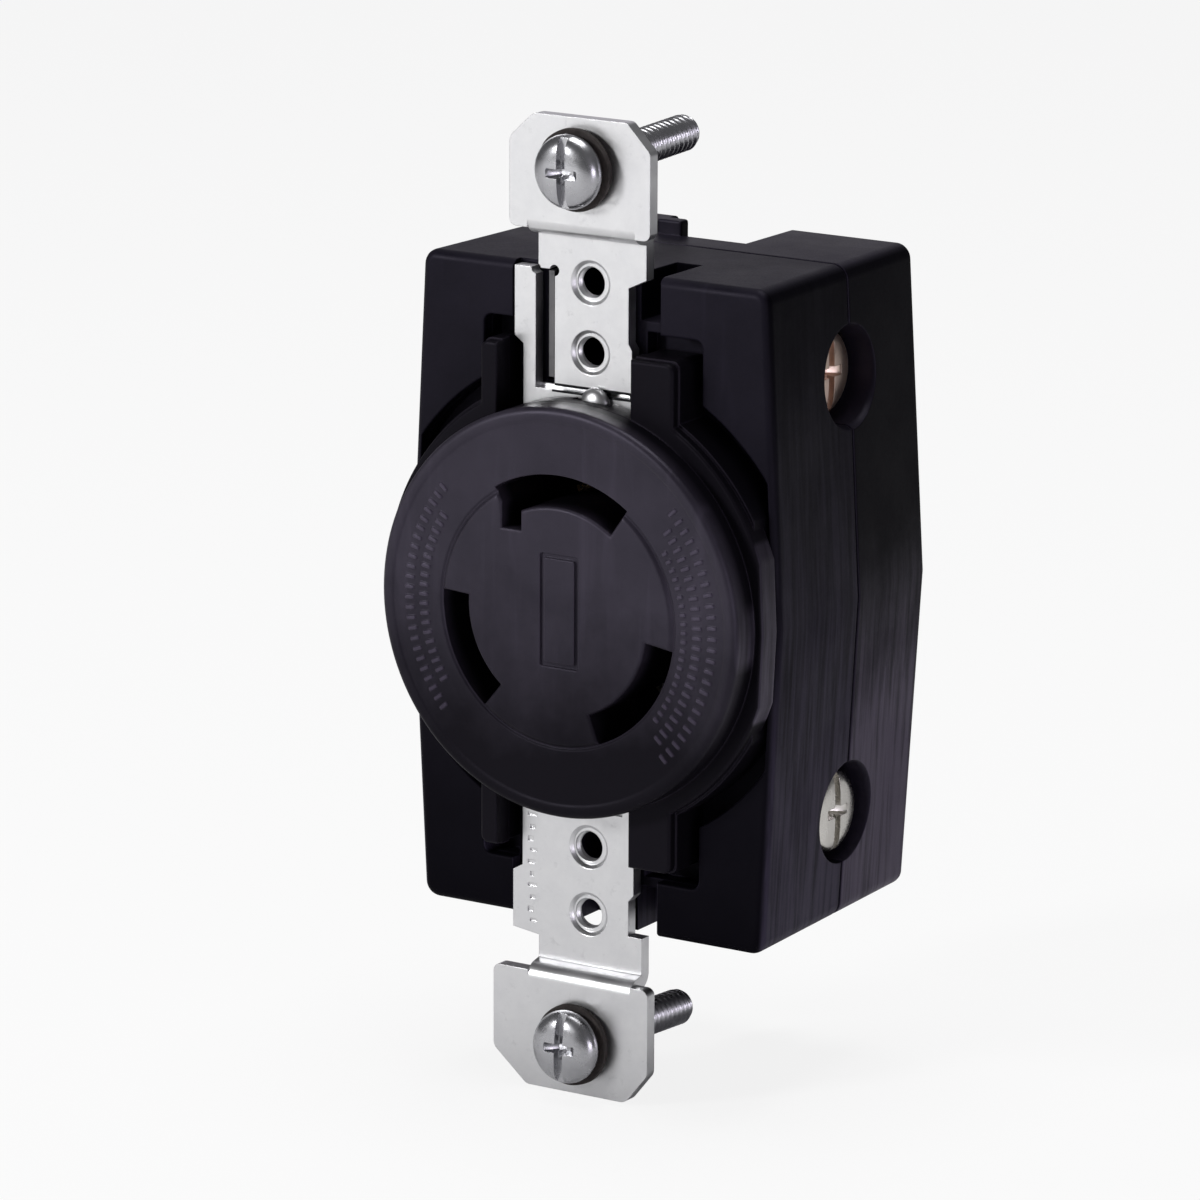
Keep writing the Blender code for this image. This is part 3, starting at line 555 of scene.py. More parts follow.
def metal(name, base, dark, rough, grain, edge_dark=0.35, tint=None, spots=0.25, bevel_r=0.10):
    """Plated or bright metal: rolling or turning lines, cloudy plating, darker edges.

    grain is the stretch of the lines, edge_dark and spots are the strength of the dark edges
    and stains, tint is a second colour in broad patches and bevel_r the width of the edges."""
    look = Look(name)
    cloud = look.noise(0.35, detail=5.0, rough=0.6)
    lines = look.noise(6.0, detail=3.0, rough=0.6, stretch=grain)
    stain = look.noise(0.9, detail=4.0, rough=0.65, distortion=0.4)
    colour = look.mix(look.span(cloud, 0.35, 0.70, to_max=0.35), base, dark)
    colour = look.mix(look.span(stain, 0.60, 0.78, to_max=spots), colour, times(dark, 0.45))
    if tint:
        patches = look.noise(0.22, detail=2.0)
        colour = look.mix(look.span(patches, 0.45, 0.62, to_max=0.45), colour, tint)
    bevel, edge = look.edges(bevel_r)
    colour = look.mix(look.times(edge, edge_dark), colour, times(dark, 0.6))
    roughness = look.math('ADD', look.span(cloud, 0.3, 0.7, rough - 0.06, rough + 0.09),
                          look.span(stain, 0.55, 0.8, to_max=0.14))
    normal = look.bump(lines, strength=0.22, distance=0.02, normal=bevel)
    normal = look.bump(look.noise(3.2, detail=3.0), strength=0.16, distance=0.02, normal=normal)
    return look.set(Base_Color=colour, Roughness=roughness, Metallic=1.0, Normal=normal)


def shaded(name, source, spans):
    """Copy of a metal with painted shade: near black inside one box, given by its x, y and z
    ranges.
    """
    mat = source.copy()
    mat.name = name
    nodes, link = mat.node_tree.nodes, mat.node_tree.links.new
    bsdf = next(node for node in nodes if node.type == 'BSDF_PRINCIPLED')
    place = nodes.new("ShaderNodeSeparateXYZ")
    link(nodes.new("ShaderNodeTexCoord").outputs["Object"], place.inputs[0])
    mask = None
    for axis, (low, high) in zip("XYZ", spans):
        within = nodes.new("ShaderNodeMath")
        within.operation = 'COMPARE'
        link(place.outputs[axis], within.inputs[0])
        within.inputs[1].default_value = (low + high) / 2 * MM
        within.inputs[2].default_value = (high - low) / 2 * MM
        if mask is None:
            mask = within.outputs[0]
            continue
        both = nodes.new("ShaderNodeMath")
        both.operation = 'MULTIPLY'
        link(mask, both.inputs[0])
        link(within.outputs[0], both.inputs[1])
        mask = both.outputs[0]
    mix = nodes.new("ShaderNodeMix")
    mix.data_type = 'RGBA'
    link(mask, mix.inputs[0])
    link(bsdf.inputs["Base Color"].links[0].from_socket, mix.inputs[6])
    # painted shade colour
    mix.inputs[7].default_value = (0.02, 0.02, 0.022, 1)
    link(mix.outputs[2], bsdf.inputs["Base Color"])
    return mat


def fibre():
    look = Look("vulcanised_fibre")
    strands = look.noise(4.0, detail=4.0, rough=0.7, stretch=(1.0, 0.2, 0.35), distortion=1.0)
    cloud = look.noise(0.8, detail=4.0)
    colour = look.mix(look.span(strands, 0.35, 0.7), (0.014, 0.010, 0.009), (0.040, 0.030, 0.028))
    colour = look.mix(look.span(cloud, 0.5, 0.75, to_max=0.5), colour, (0.010, 0.008, 0.008))
    return look.set(Base_Color=colour, Roughness=look.span(cloud, 0.3, 0.7, 0.68, 0.85),
                    Metallic=0.0, Normal=look.bump(strands, strength=0.5, distance=0.06))


# Painted light and shade in all three: lighter purple on the side faces; front and nose also
# lighter higher up; nose darker further back and lit on its outer side wall.
FRONT_BLACK = moulded(
    "moulded_black_front", base=(0.0052, 0.0044, 0.0084), lift=(0.0092, 0.0078, 0.0138),
    rough=0.48, sheen=0.13, light_heights=(-34, 34), flank_fade=(34, -30),
    flank_lit_colour=(0.034, 0.028, 0.049))
REAR_BLACK = moulded(
    "moulded_black_rear", base=(0.0062, 0.0050, 0.0095), lift=(0.0120, 0.0098, 0.0175),
    rough=0.46, sheen=0.20, flank_fade=(6, -14), flank_lit_colour=(0.062, 0.050, 0.078))
NOSE_BLACK = moulded(
    "moulded_black_nose", base=(0.0130, 0.0108, 0.0170), lift=(0.0240, 0.0200, 0.0300),
    rough=0.42, sheen=0.37, light_heights=(-13, 3), flank_fade=(24, -20),
    flank_lit_colour=(0.085, 0.072, 0.105), shade_depths=(0.8, 2.2), flank_from=19.1,
    worn_ring=(13.0, 17.75))

DRAWN, TURNED, PLAIN = (1.0, 1.0, 0.2), (1.2, 1.2, 1.2), (1.5, 1.5, 1.5)      # grains
ZINC = metal("bright_zinc", base=(0.77, 0.77, 0.78), dark=(0.56, 0.56, 0.58), rough=0.34,
             grain=(2.2, 2.2, 0.12))
ZINC_SCREW = metal("zinc_screw", base=(0.52, 0.52, 0.54), dark=(0.28, 0.28, 0.30), rough=0.25,
                   grain=TURNED, edge_dark=0.45, bevel_r=0.06)
BRASS = metal("brass", base=(0.78, 0.55, 0.27), dark=(0.55, 0.34, 0.14), rough=0.30,
              grain=DRAWN, tint=(0.62, 0.36, 0.24), spots=0.35)
BRASS_SCREW = metal("brass_screw", base=(0.80, 0.64, 0.54), dark=(0.50, 0.37, 0.30), rough=0.33,
                    grain=TURNED, edge_dark=0.4, tint=(0.70, 0.53, 0.47), spots=0.4,
                    bevel_r=0.06)
NICKEL = metal("nickel_plate", base=(0.74, 0.72, 0.68), dark=(0.52, 0.50, 0.46), rough=0.26,
               grain=DRAWN)
GREEN = metal("green_screw_finish", base=(0.07, 0.34, 0.14), dark=(0.03, 0.17, 0.07), rough=0.34,
              grain=TURNED, edge_dark=0.6, tint=(0.10, 0.40, 0.20), spots=0.3, bevel_r=0.06)
# painted shade: steel made dark grey for the bond clip, which sits back in the shade of its slot
SHADED_STEEL = metal("steel_painted_shade", base=(0.16, 0.155, 0.16), dark=(0.09, 0.09, 0.095), rough=0.42,
             grain=PLAIN, edge_dark=0.4, bevel_r=0.06)
STEEL = metal("plain_steel", base=(0.56, 0.56, 0.57), dark=(0.36, 0.36, 0.38), rough=0.36,
              grain=PLAIN, edge_dark=0.4, bevel_r=0.06)
# painted shade across the coined line of the upper neck: the zinc is near black inside this box
STRAP_ZINC = shaded("bright_zinc_strap_painted_shade", ZINC, ((-4.2, 4.6), (3.90, 6.0), (19.5, 20.35)))
FIBRE = fibre()


def wear(ob, mat):
    ob.data.materials.clear()
    ob.data.materials.append(mat)
    for polygon in ob.data.polygons:
        polygon.material_index = 0


def stand(ob, mat, slot, body, *nodes):
    """A finished piece that stands for CAD nodes."""
    wear(ob, mat)
    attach(ob, body)
    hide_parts(*nodes)


# ----------------------------------------------------------------------- nose moulding
# Ticks on the face: first and last angle in degrees, radius, radial length
TICKS = ((-46, 42, 16.75, 0.95), (-43, 38, 15.15, 0.95), (-38, 32, 13.75, 0.6),
         (140, 220, 16.3, 0.95), (148, 212, 14.7, 0.95))
TICK_SPACING, TICK_WIDTH = 3.4, 0.34


def tick(radius, angle, length):
    """Small raised bar on the nose's face, pointing outwards."""
    ca, sa = math.cos(angle), math.sin(angle)
    x, z = radius * ca, radius * sa

    def ring(long, wide, y):
        corners = [(-long / 2, -wide / 2), (long / 2, -wide / 2), (long / 2, wide / 2),
                   (-long / 2, wide / 2)]
        return [(x + a * ca - b * sa, y, z + a * sa + b * ca)
                for a, b in rounded(corners, min(long, wide) * 0.3, 2)]
    top = 0.012
    return loft("mark", [ring(length + 0.05, TICK_WIDTH + 0.05, 0.20),
                         ring(length + 0.02, TICK_WIDTH + 0.02, top + 0.07),
                         ring(length * 0.86, TICK_WIDTH * 0.86, top)])


def build_nose():
    profile = [(0.0, Y_NOSE_BACK), (NOSE_R, Y_NOSE_BACK), (NOSE_R, NOSE_RIM_R + 0.9),
               (NOSE_R - 0.02, NOSE_RIM_R + 0.3)]
    profile += [(NOSE_R - NOSE_RIM_R + a, NOSE_RIM_R + b) for a, b in arc(NOSE_RIM_R, 0, -90, 7)]
    # low band inside the rim, a groove, then the middle of the face
    profile += [(18.25, 0.0), (18.1, 0.05), (17.95, FACE_STEP), (12.93, FACE_STEP),
                (12.86, 0.17), (12.72, 0.30), (12.58, 0.30), (12.40, 0.10), (12.28, 0.03),
                (12.1, 0.0), (0.0, 0.0)]
    nose = lathe("nose_moulding", profile, (0, 0, 0), 160)
    add(nose,
        plate("t_collar", shoulder(COLLAR_R, FRONT_MID - 0.1, TAB_X, TAB_Z),
              Y_COLLAR, Y_BODY - 0.27, 0.32, 0.05, 4, True),
        plate("t_skirt", shoulder(COLLAR_R + 0.3, 19.15, TAB_X + 0.15, TAB_Z + 0.15),
              Y_COLLAR + 1, 8.75, 0.05, 0.1, 2, True))
    ring_room = [(0, 12.5), (17.71, 12.5), (17.71, Y_STRAP_ROOM), (13.7, Y_STRAP_ROOM),
                 (13.7, 12.4), (0, 12.4)]
    cut(nose, drill("t_under", 17.7, 12, Y_NECK + STRAP_T - 0.03, steps=96),
        lathe("t_ring_room", ring_room, (0, 0, 0), 96, tool=True))
    for end in (1, -1):
        zs = mirrored((15.0, 26.0), end)
        cut(nose, block("t_neck_under", (-9.0, 6.2), (Y_STRAP_ROOM, 11.2), zs))
        # the opening in the collar stops at the nose's cylinder
        gate = lipped_hole("t_gate", rect((-8.65, 5.9), zs), Y_COLLAR, 5.7, 0.18)
        cut(gate, drill("t_keep", NOSE_R + 0.02, -3, 7, steps=160))
        cut(nose, gate,
            drill("t_rivet_room", 2.0, 11, 4.3, (RIVET_X, 0, end * RIVET_Z)))
    for centre, half, r0, r1 in SLOTS.values():
        cut(nose, lipped_hole("t_slot", sector(r0, r1, centre, half, 28), Y_FACE, 11.5, 0.34, 5))
    cut(nose, lipped_hole("t_toe", rect((-6.0, -3.9), (7.5, 10.4)), Y_FACE, 11.6, 0.22))
    # shallow rectangular groove in the middle of the face
    groove = lipped_hole("t_frame", rect((-1.75, 2.4), (-5.0, 5.7), 0.25), Y_FACE, 0.26, 0.10, 3)
    cut(groove, prism("t_frame_keep", rect((-1.33, 1.98), (-4.58, 5.28), 0.2), -4.0, 2.0))
    cut(nose, groove)
    bake(nose)
    clean(nose)

    marks = []
    for first, last, radius, length in TICKS:
        count = int((last - first) / TICK_SPACING)
        for i in range(count + 1):
            angle = math.radians(first + (last - first) * i / count)
            marks.append(tick(radius, angle, length))
    join(nose, *marks)
    clean(nose)
    stand(nose, NOSE_BLACK, "moulded_black", "root", "nose_face")


build_nose()


# ---------------------------------------------------------------------- body mouldings
def body_outline(y):
    """Six-sided outline of the tapering body at depth y."""
    t = (y - Y_BODY) / (Y_REAR - Y_BODY)
    mid, end, half_h = [a + (b - a) * t for a, b in zip(BODY_FRONT, BODY_REAR)]
    return rounded([(mid, 0), (end, half_h), (-end, half_h),
                    (-mid, 0), (-end, -half_h), (end, -half_h)],
                   [0, CORNER_R, CORNER_R, 0, CORNER_R, CORNER_R], 8)


def chamber(side, end, y0, y1):
    return block("t_chamber", mirrored(CHAMBER_X, side), (y0, y1), mirrored(CHAMBER_Z, end))


def access(side, end, floor=14.8):
    """Stepped round hole from the flank down to the floor, on the parting plane."""
    profile = [(0, 23), (ACCESS_R + 0.45, 23), (ACCESS_R + 0.45, 19.25),
               (ACCESS_R + 0.18, 18.75), (ACCESS_R + 0.04, 18.5), (ACCESS_R, 18.2),
               (ACCESS_R, floor), (0, floor)]
    return lathe("t_access", profile, (0, Y_PARTING, end * TERM_Z), 64, RIGHT * side, True)


def build_front():
    rings = edged_rings(body_outline, Y_BODY, Y_FRONT_END, EDGE_R, 0.16, 5, 2)
    front = loft("front_moulding", rings)
    past_end = Y_FRONT_END + 1
    cut(front, lipped_hole("t_seat", shoulder(MOAT_R, 19.5, MOAT_X, MOAT_Z),
                           Y_BODY, Y_LAND, 0.22))
    for end in (1, -1):
        channel = rect((-8.65, 7.3), mirrored((20, OUTSIDE), end))
        cut(front, lipped_hole("t_channel", channel, Y_BODY, Y_LAND - 0.01, 0.2))
    # the moat leaves a round core and a band under the strap's necks
    moat = prism("t_moat", shoulder(MOAT_R - 0.04, 19.45, MOAT_X - 0.04, MOAT_Z - 0.04),
                 Y_BODY - 2.5, Y_MOAT)
    cut(moat, drill("t_core", SEAT_R, 0, 14, steps=96),
        block("t_core_neck", (-8.7, 5.2), (0.1, 14.1), (-OUTSIDE, OUTSIDE)))
    cut(front, moat)
    for end in (1, -1):
        cut(front, block("t_recess", (4.5, 7.3), (Y_BODY - 2, 13.5),
                         mirrored((26.9, OUTSIDE), end)))
    for centre, half, r0, r1 in SLOTS.values():
        cut(front,
            prism("t_gate", sector(r0 - 0.15, r1 + 0.15, centre, half + 1, 20),
                  Y_BODY, Y_WELL + 1),
            prism("t_well", sector(8.9, 14.4, centre, half + 3, 20), Y_WELL, past_end))
    cut(front, block("t_gate_toe", (-6.2, -3.7), (Y_BODY, Y_WELL + 1), (7.3, 10.6)),
        block("t_middle_room", ROOM_X, (19.8, past_end), ROOM_Z))
    for side, end in STATIONS.values():
        cut(front, chamber(side, end, 15.3, past_end), access(side, end))
    cut(front, access(-1, -1, BLIND_FLOOR))
    cover_r = 2.1
    for end in (1, -1):
        inner_z, outer_z = COVER_HOLE_Z
        cut(front,
            drill("t_cover", cover_r, 15, 5, (0, 0, end * inner_z), 32),
            block("t_run_out", (-cover_r, cover_r), (Y_BODY - 0.5, 11.0),
                  mirrored((outer_z - cover_r, OUTSIDE), end)),
            drill("t_rivet", RIVET_HOLE_R, 13.3, 5, (RIVET_X, 0, end * RIVET_Z)))
        for side in (1, -1):
            cut(front, drill("t_case_screw", 1.5, 22, 11.5,
                             (side * CASE_SCREW_X, 0, end * CASE_SCREW_Z)))
    bond_x = (-5.6, -4.3)
    cut(front, block("t_bond", bond_x, (Y_BODY, past_end), (20.2, 31.0)),
        block("t_bond_foot", bond_x, (18.6, past_end), (14.6, 21.0)))
    bake(front)
    clean(front)
    stand(front, FRONT_BLACK, "moulded_black", "root", "front_housing")


def build_rear():
    rings = edged_rings(body_outline, Y_REAR_START, Y_REAR, 0.16, EDGE_R, 2, 5)
    rear = loft("rear_moulding", rings)
    before = Y_REAR_START - 1
    cut(rear, block("t_middle_room", ROOM_X, (before, 26.3), ROOM_Z))
    # heights from the back face: a funnel and a bore, and a counterbored screw hole
    wire = [(0, 0.5), (2.95, 0.5), (2.9, 0.0), (2.7, -0.22), (1.95, -0.95), (1.8, -1.2),
            (1.8, -8.2), (0, -8.2)]
    screw = [(0, 1.0), (2.35, 1.0), (2.35, 0.05), (2.2, -0.12), (2.15, -0.3), (2.15, -2.06),
             (1.5, -2.06), (1.5, -14.0), (0, -14.0)]
    for side, end in STATIONS.values():
        cut(rear, chamber(side, end, before, 27.0), access(side, end))
        for shift in (WIRE_DZ, -WIRE_DZ):
            at = (side * WIRE_X, Y_REAR, end * TERM_Z + shift)
            cut(rear, lathe("t_wire", wire, at, 32, tool=True))
    cut(rear, access(-1, -1, BLIND_FLOOR))
    cut(rear, block("t_notch", (-8.0, 5.0), (25.0, Y_REAR + 2), (27.4, OUTSIDE)))
    add(rear, plate("t_lug", rect((-4.6, -1.9), (27.0, 32.7), 0.3), 24.6, 26.0,
                    0.2, 0.2, 3, True))
    for end in (1, -1):
        for side in (1, -1):
            at = (side * CASE_SCREW_X, Y_REAR, end * CASE_SCREW_Z)
            cut(rear, lathe("t_case_screw", screw, at, 32, tool=True))
    bake(rear)
    clean(rear)
    stand(rear, REAR_BLACK, "moulded_black", "root", "rear_housing")


build_front()
build_rear()

# ---------------------------------------------------------------------- mounting strap
# Ears: x, z, corner radius
EAR_TOP = ((-5.65, 35.1, 0), (-5.65, 36.1, 0), (5.95, 36.1, 0), (5.95, 35.1, 0),
           (7.6, 35.1, 0.7), (7.6, 43.2, 0.8), (5.1, 45.8, 0.8), (-5.0, 45.8, 1.2),
           (-7.6, 43.4, 1.2), (-7.6, 35.1, 0.7))
EAR_LOW = ((5.85, -35.9, 0), (5.85, -36.95, 0), (-5.45, -36.95, 0), (-5.45, -35.9, 0),
           (-9.3, -35.9, 0.7), (-9.3, -44.0, 1.0), (-5.6, -47.2, 1.0), (5.4, -47.2, 1.2),
           (7.8, -44.2, 1.0), (7.8, -35.9, 0.7))
# Necks: x, z
NECK_TOP = ((-7.35, 15.0), (4.5, 15.0), (4.5, 24.3), (4.1, 24.9), (4.1, 30.1), (6.0, 31.0),
            (6.0, 34.0), (-5.7, 34.0), (-5.7, 31.0), (-8.3, 31.0), (-8.3, 24.4), (-7.35, 23.7))
NECK_LOW = ((4.95, -15.0), (-7.35, -15.0), (-7.35, -26.4), (-8.4, -27.0), (-8.4, -32.6),
            (-5.5, -33.0), (-5.5, -34.8), (5.9, -34.8), (5.9, -31.6), (4.4, -31.6),
            (4.4, -28.2), (4.95, -27.6))
# Mouth of a tapped hole: radius, height from the neck's front
TAP_PROFILE = ((0, -1.0), (2.2, -1.0), (2.15, -0.02), (2.0, 0.12), (1.84, 0.26), (1.76, 0.40),
               (1.72, 0.55), (1.72, 3), (0, 3))


def blank(name, outline, y, tool=True):
    return prism(name, outline, y, y + STRAP_T, tool)


def ear(rows):
    outline = rounded([(x, z) for x, z, r in rows], [r for x, z, r in rows], 5)
    return blank("t_ear", outline, Y_EAR)


def joggle(xs, end, z_mid, z_from, z_to):
    """Strip that carries the neck forward to the ear through two press bends."""
    radius, bend, steps = 0.74, math.radians(78.0), 9          # radius is at mid thickness
    rise = Y_NECK - Y_EAR - 2 * radius * (1 - math.cos(bend))
    straight = rise / math.sin(bend)
    half = radius * math.sin(bend) + straight * math.cos(bend) / 2
    z_in, z_out = z_mid - half, z_mid + half
    y_in = Y_NECK + STRAP_T / 2 - radius
    y_out = Y_EAR + STRAP_T / 2 + radius
    outer, inner = radius + STRAP_T / 2, radius - STRAP_T / 2
    angles = [bend * k / steps for k in range(steps + 1)]

    def first_bend(r):
        return [(y_in + r * math.cos(a), z_in + r * math.sin(a)) for a in angles]

    def second_bend(r):
        return [(y_out - r * math.cos(a), z_out - r * math.sin(a)) for a in angles]
    points = [(Y_NECK, z_from), (Y_NECK + STRAP_T, z_from), *first_bend(outer),
              *reversed(second_bend(inner)), (Y_EAR + STRAP_T, z_to), (Y_EAR, z_to),
              *second_bend(outer), *reversed(first_bend(inner))]
    return loft("t_joggle", [[(x, y, end * z) for y, z in points] for x in xs], True)


def build_strap():
    strap = blank("strap_plate", arc(RING_R1, 0, 357.5, 143), Y_NECK, False)
    add(strap, blank("t_neck", NECK_TOP, Y_NECK), blank("t_neck", NECK_LOW, Y_NECK),
        joggle((-5.7, 6.0), 1, 35.05, 33.6, 36.5),
        joggle((-5.5, 5.9), -1, 35.9, 34.4, 37.3), ear(EAR_TOP), ear(EAR_LOW))
    cut(strap, drill("t_ring_hole", RING_R0, -1, 3, (0, Y_NECK, 0), 96))
    half_x, half_z = 3.1, 2.5                                  # slot in each ear
    for end in (1, -1):
        middle = end * EAR_HOLE_Z
        slot = rect((-half_x, half_x), (middle - half_z, middle + half_z), 2.45, 8)
        cut(strap, prism("t_ear_slot", slot, Y_EAR - 1.0, Y_EAR + STRAP_T + 1.0))
        for hole_z in COVER_HOLE_Z:
            cut(strap, lathe("t_tap", TAP_PROFILE, (0, Y_NECK, end * hole_z), 40, tool=True))
        cut(strap, drill("t_rivet", RIVET_HOLE_R, -1, 3, (RIVET_X, Y_NECK, end * RIVET_Z)))
    # a slot through the upper neck, then a shallow line across each neck
    cut(strap, block("t_bond_slot", (-6.0, -3.9), (Y_NECK - 1, Y_NECK + 3), (20.0, 31.0)),
        block("t_coined_line", (-6.0, 4.3), (Y_NECK - 1, Y_NECK + 0.9), (19.7, 20.1)),
        block("t_coined_low", (-4.0, 3.7), (Y_NECK - 1, Y_NECK + 0.25), (-20.1, -19.75)))
    for x in (-5.95, -3.95):
        cut(strap, drill("t_relief", 0.52, -1, 3, (x, Y_NECK, 30.9)))
    bake(strap)

    # merge the flats so that the die roll only follows real edges
    with editing(strap.data) as bm:
        bmesh.ops.remove_doubles(bm, verts=bm.verts, dist=1e-6)
        bmesh.ops.dissolve_limit(bm, angle_limit=math.radians(1.0), verts=bm.verts,
                                 edges=bm.edges)
    bevel = strap.modifiers.new("die_roll", 'BEVEL')
    bevel.width = 0.13 * MM
    bevel.segments = 3
    bevel.limit_method = 'ANGLE'
    bevel.angle_limit = math.radians(50)
    bevel.use_clamp_overlap = True
    bake(strap)

    # shallow struck marks: a column of bars down the left of the lower neck
    for i in range(10):
        top = -21.2 - 1.15 * i
        cut(strap, block("t_bar", (-6.75 + 0.25 * (i % 2), -5.75 - 0.2 * (i % 3)),
                         (Y_NECK - 1, Y_NECK + 0.14), (top - 0.28 - 0.1 * (i % 3), top)))
    bake(strap)
    linings = [thread("lining", 1.62, 1.32, BACK, (0, 0, end * hole_z), Y_NECK + 0.34,
                      Y_NECK + STRAP_T - 0.02, 10, outer=1.80)
               for end in (1, -1) for hole_z in COVER_HOLE_Z]
    join(strap, *linings)
    clean(strap, 38)
    stand(strap, STRAP_ZINC, "zinc_plate", "root", "mounting_strap")


build_strap()

# --------------------------------------------------------------------- screws and rivets
# Heads and the rivet: radius, height above the seat
MOUNT_HEAD = [(0.0, 1.75), (1.0, 1.735), (1.9, 1.67), (2.55, 1.52), (3.0, 1.27), (3.3, 0.95),
              (3.46, 0.6), (3.5, 0.35), (3.48, 0.12), (3.38, 0.0)]
TERM_HEAD = [(0.0, 2.4), (1.7, 2.37), (2.8, 2.28), (3.45, 2.10), (3.82, 1.80), (3.97, 1.40),
             (4.0, 0.6), (3.96, 0.15), (3.8, 0.0)]
CASE_HEAD = [(0.0, 1.6), (0.8, 1.58), (1.35, 1.46), (1.7, 1.22), (1.86, 0.85), (1.9, 0.4),
             (1.88, 0.1), (1.78, 0.0)]
RIVET = [(0.0, 0.9), (0.45, 0.88), (0.85, 0.80), (1.18, 0.66), (1.42, 0.47), (1.57, 0.25),
         (1.6, 0.1), (1.56, 0.0), (1.0, 0.0), (1.0, -7.05), (0.9, -7.2), (0.0, -7.2)]
TERM_LOOKS = {"line": (BRASS_SCREW, "brass"), "neutral": (NICKEL, "nickel_plate"),
              "ground": (GREEN, "green_screw")}


def recess(ob, way, at, width, depth, slot, cross):
    """Straight slot of one length with a tapered cross of another, in the top of a head."""
    first = Vector((0, 0, 1))
    second = way.cross(first)
    at = Vector(at)

    def wedge(length, wide, deep, along, across, mid_length, end_length, end_width):
        rings = []
        for height, long, broad in ((0.6, length, wide),
                                    (-deep * 0.35, length * mid_length, wide * 0.94),
                                    (-deep, length * end_length, wide * end_width)):
            outline = rect((-long / 2, long / 2), (-broad / 2, broad / 2), broad * 0.18, 2)
            rings.append([tuple(at + way * height + along * a + across * b)
                          for a, b in outline])
        return loft("t_drive", rings, True)
    cut(ob, wedge(slot, width, depth * 0.8, first, second, 1.0, 1.0, 0.9))
    for along, across in ((second, first), (first, second)):
        cut(ob, wedge(cross, width * 0.95, depth * 1.25, along, across, 0.84, 0.34, 0.6))


def headed_screw(name, way, at, head, shank, core, length, drive, tip, pitch=PITCH):
    """Screw: a turned head on a threaded shank. `way` points out of the head, `head` is its
    profile from pole to seat and `drive` the recess's width, depth, slot and cross length."""
    screw = lathe(name, head + [(shank - 0.02, 0.0), (shank - 0.02, -0.25), (core, -0.45),
                                (0, -0.45)], at, 64, way)
    recess(screw, way, Vector(at) + way * head[0][1], *drive)
    bake(screw)
    join(screw, thread(name + "_thread", shank, core, -way, at, 0.2, length, 9, tip, 0.9,
                       pitch=pitch))
    clean(screw, 36)
    return screw


def lean(ob, end, shift, tilt):
    """Tilt a finished piece about the middle of its ear's slot, as the loose screw hangs."""
    centre = Vector((0, Y_EAR + STRAP_T / 2, end * EAR_HOLE_Z + shift)) * MM
    ob.data.transform(Matrix.Translation(centre) @ Matrix.Rotation(math.radians(tilt), 4, 'X')
                      @ Matrix.Translation(-centre))


for label, (end, shift, tilt) in HANG.items():
    ob = headed_screw(label + "_screw_threaded", -BACK,
                      (0, MOUNT_SEAT_Y, end * EAR_HOLE_Z + shift), MOUNT_HEAD,
                      shank=1.75, core=1.40, length=20.5, drive=(0.95, 1.0, 7.6, 3.7), tip=0.9)
    lean(ob, end, shift, tilt)
    stand(ob, ZINC_SCREW, "zinc_plate", label + "_screw", label + "_mounting_screw")

for key, (side, end) in STATIONS.items():
    seat = HEAD_SEAT[key]
    ob = headed_screw(key + "_screw_threaded", RIGHT * side,
                      (side * seat, Y_PARTING, end * TERM_Z), TERM_HEAD, shank=SHANK_R,
                      core=1.66, length=seat - TERM_TIP, drive=(1.05, 1.1, 8.8, 4.0), tip=0.6)
    stand(ob, *TERM_LOOKS[key], key + "_screw", key + "_terminal_screw")

for side, side_label in ((-1, "left"), (1, "right")):
    for end, label in ENDS:
        ob = headed_screw("case_screw_%s_%s" % (label, side_label), BACK,
                          (side * CASE_SCREW_X, 32.5, end * CASE_SCREW_Z), CASE_HEAD,
                          shank=1.2, core=0.86, length=20.5, drive=(0.55, 0.8, 4.2, 2.2),
                          tip=1.2, pitch=1.0)
        stand(ob, STEEL, "steel", "root", "housing_screw_%s_%s" % (label, side_label))

for end, label in ENDS:
    ob = lathe("rivet_%s_turned" % label, RIVET, (RIVET_X, 5.55, end * RIVET_Z), 40, -BACK)
    clean(ob, 40)
    stand(ob, STEEL, "steel", "root", "strap_rivet_" + label)


# --------------------------------------------------------------- captive fibre washers
def build_washer(label, end, shift, tilt):
    middle = end * EAR_HOLE_Z + shift
    rim = []
    for i in range(96):
        angle = 2 * math.pi * i / 96
        radius = 3.87 + 0.02 * math.sin(5 * angle + end) + 0.01 * math.sin(11 * angle)
        rim.append((radius * math.cos(angle), middle + radius * math.sin(angle)))
    washer = plate(label + "_washer", rim, 2.65, 3.25, 0.1, 0.1, 3)
    hole = []
    for i in range(48):
        angle = 2 * math.pi * i / 48
        hole.append((1.87 * math.cos(angle), middle + 1.87 * math.sin(angle)))
    cut(washer, prism("t_hole", hole, 1, 5))
    bake(washer)
    clean(washer, 40)
    lean(washer, end, shift, tilt)
    stand(washer, FIBRE, "fibre", label + "_retainer", label + "_screw_retainer")


for label, (end, shift, tilt) in HANG.items():
    build_washer(label, end, shift, tilt)


# -------------------------------------------- pieces that keep the CAD shape, edges eased
def ease(name, mat, slot, width):
    ob = NODES[name]
    flats = ob.modifiers.new("merge_flats", 'DECIMATE')
    flats.decimate_type = 'DISSOLVE'
    flats.angle_limit = math.radians(1.0)
    bevel = ob.modifiers.new("eased_edges", 'BEVEL')
    bevel.width = width * MM
    bevel.segments = 2
    bevel.limit_method = 'ANGLE'
    bevel.angle_limit = math.radians(40)
    bevel.harden_normals = False
    bevel.use_clamp_overlap = True
    wear(ob, mat)


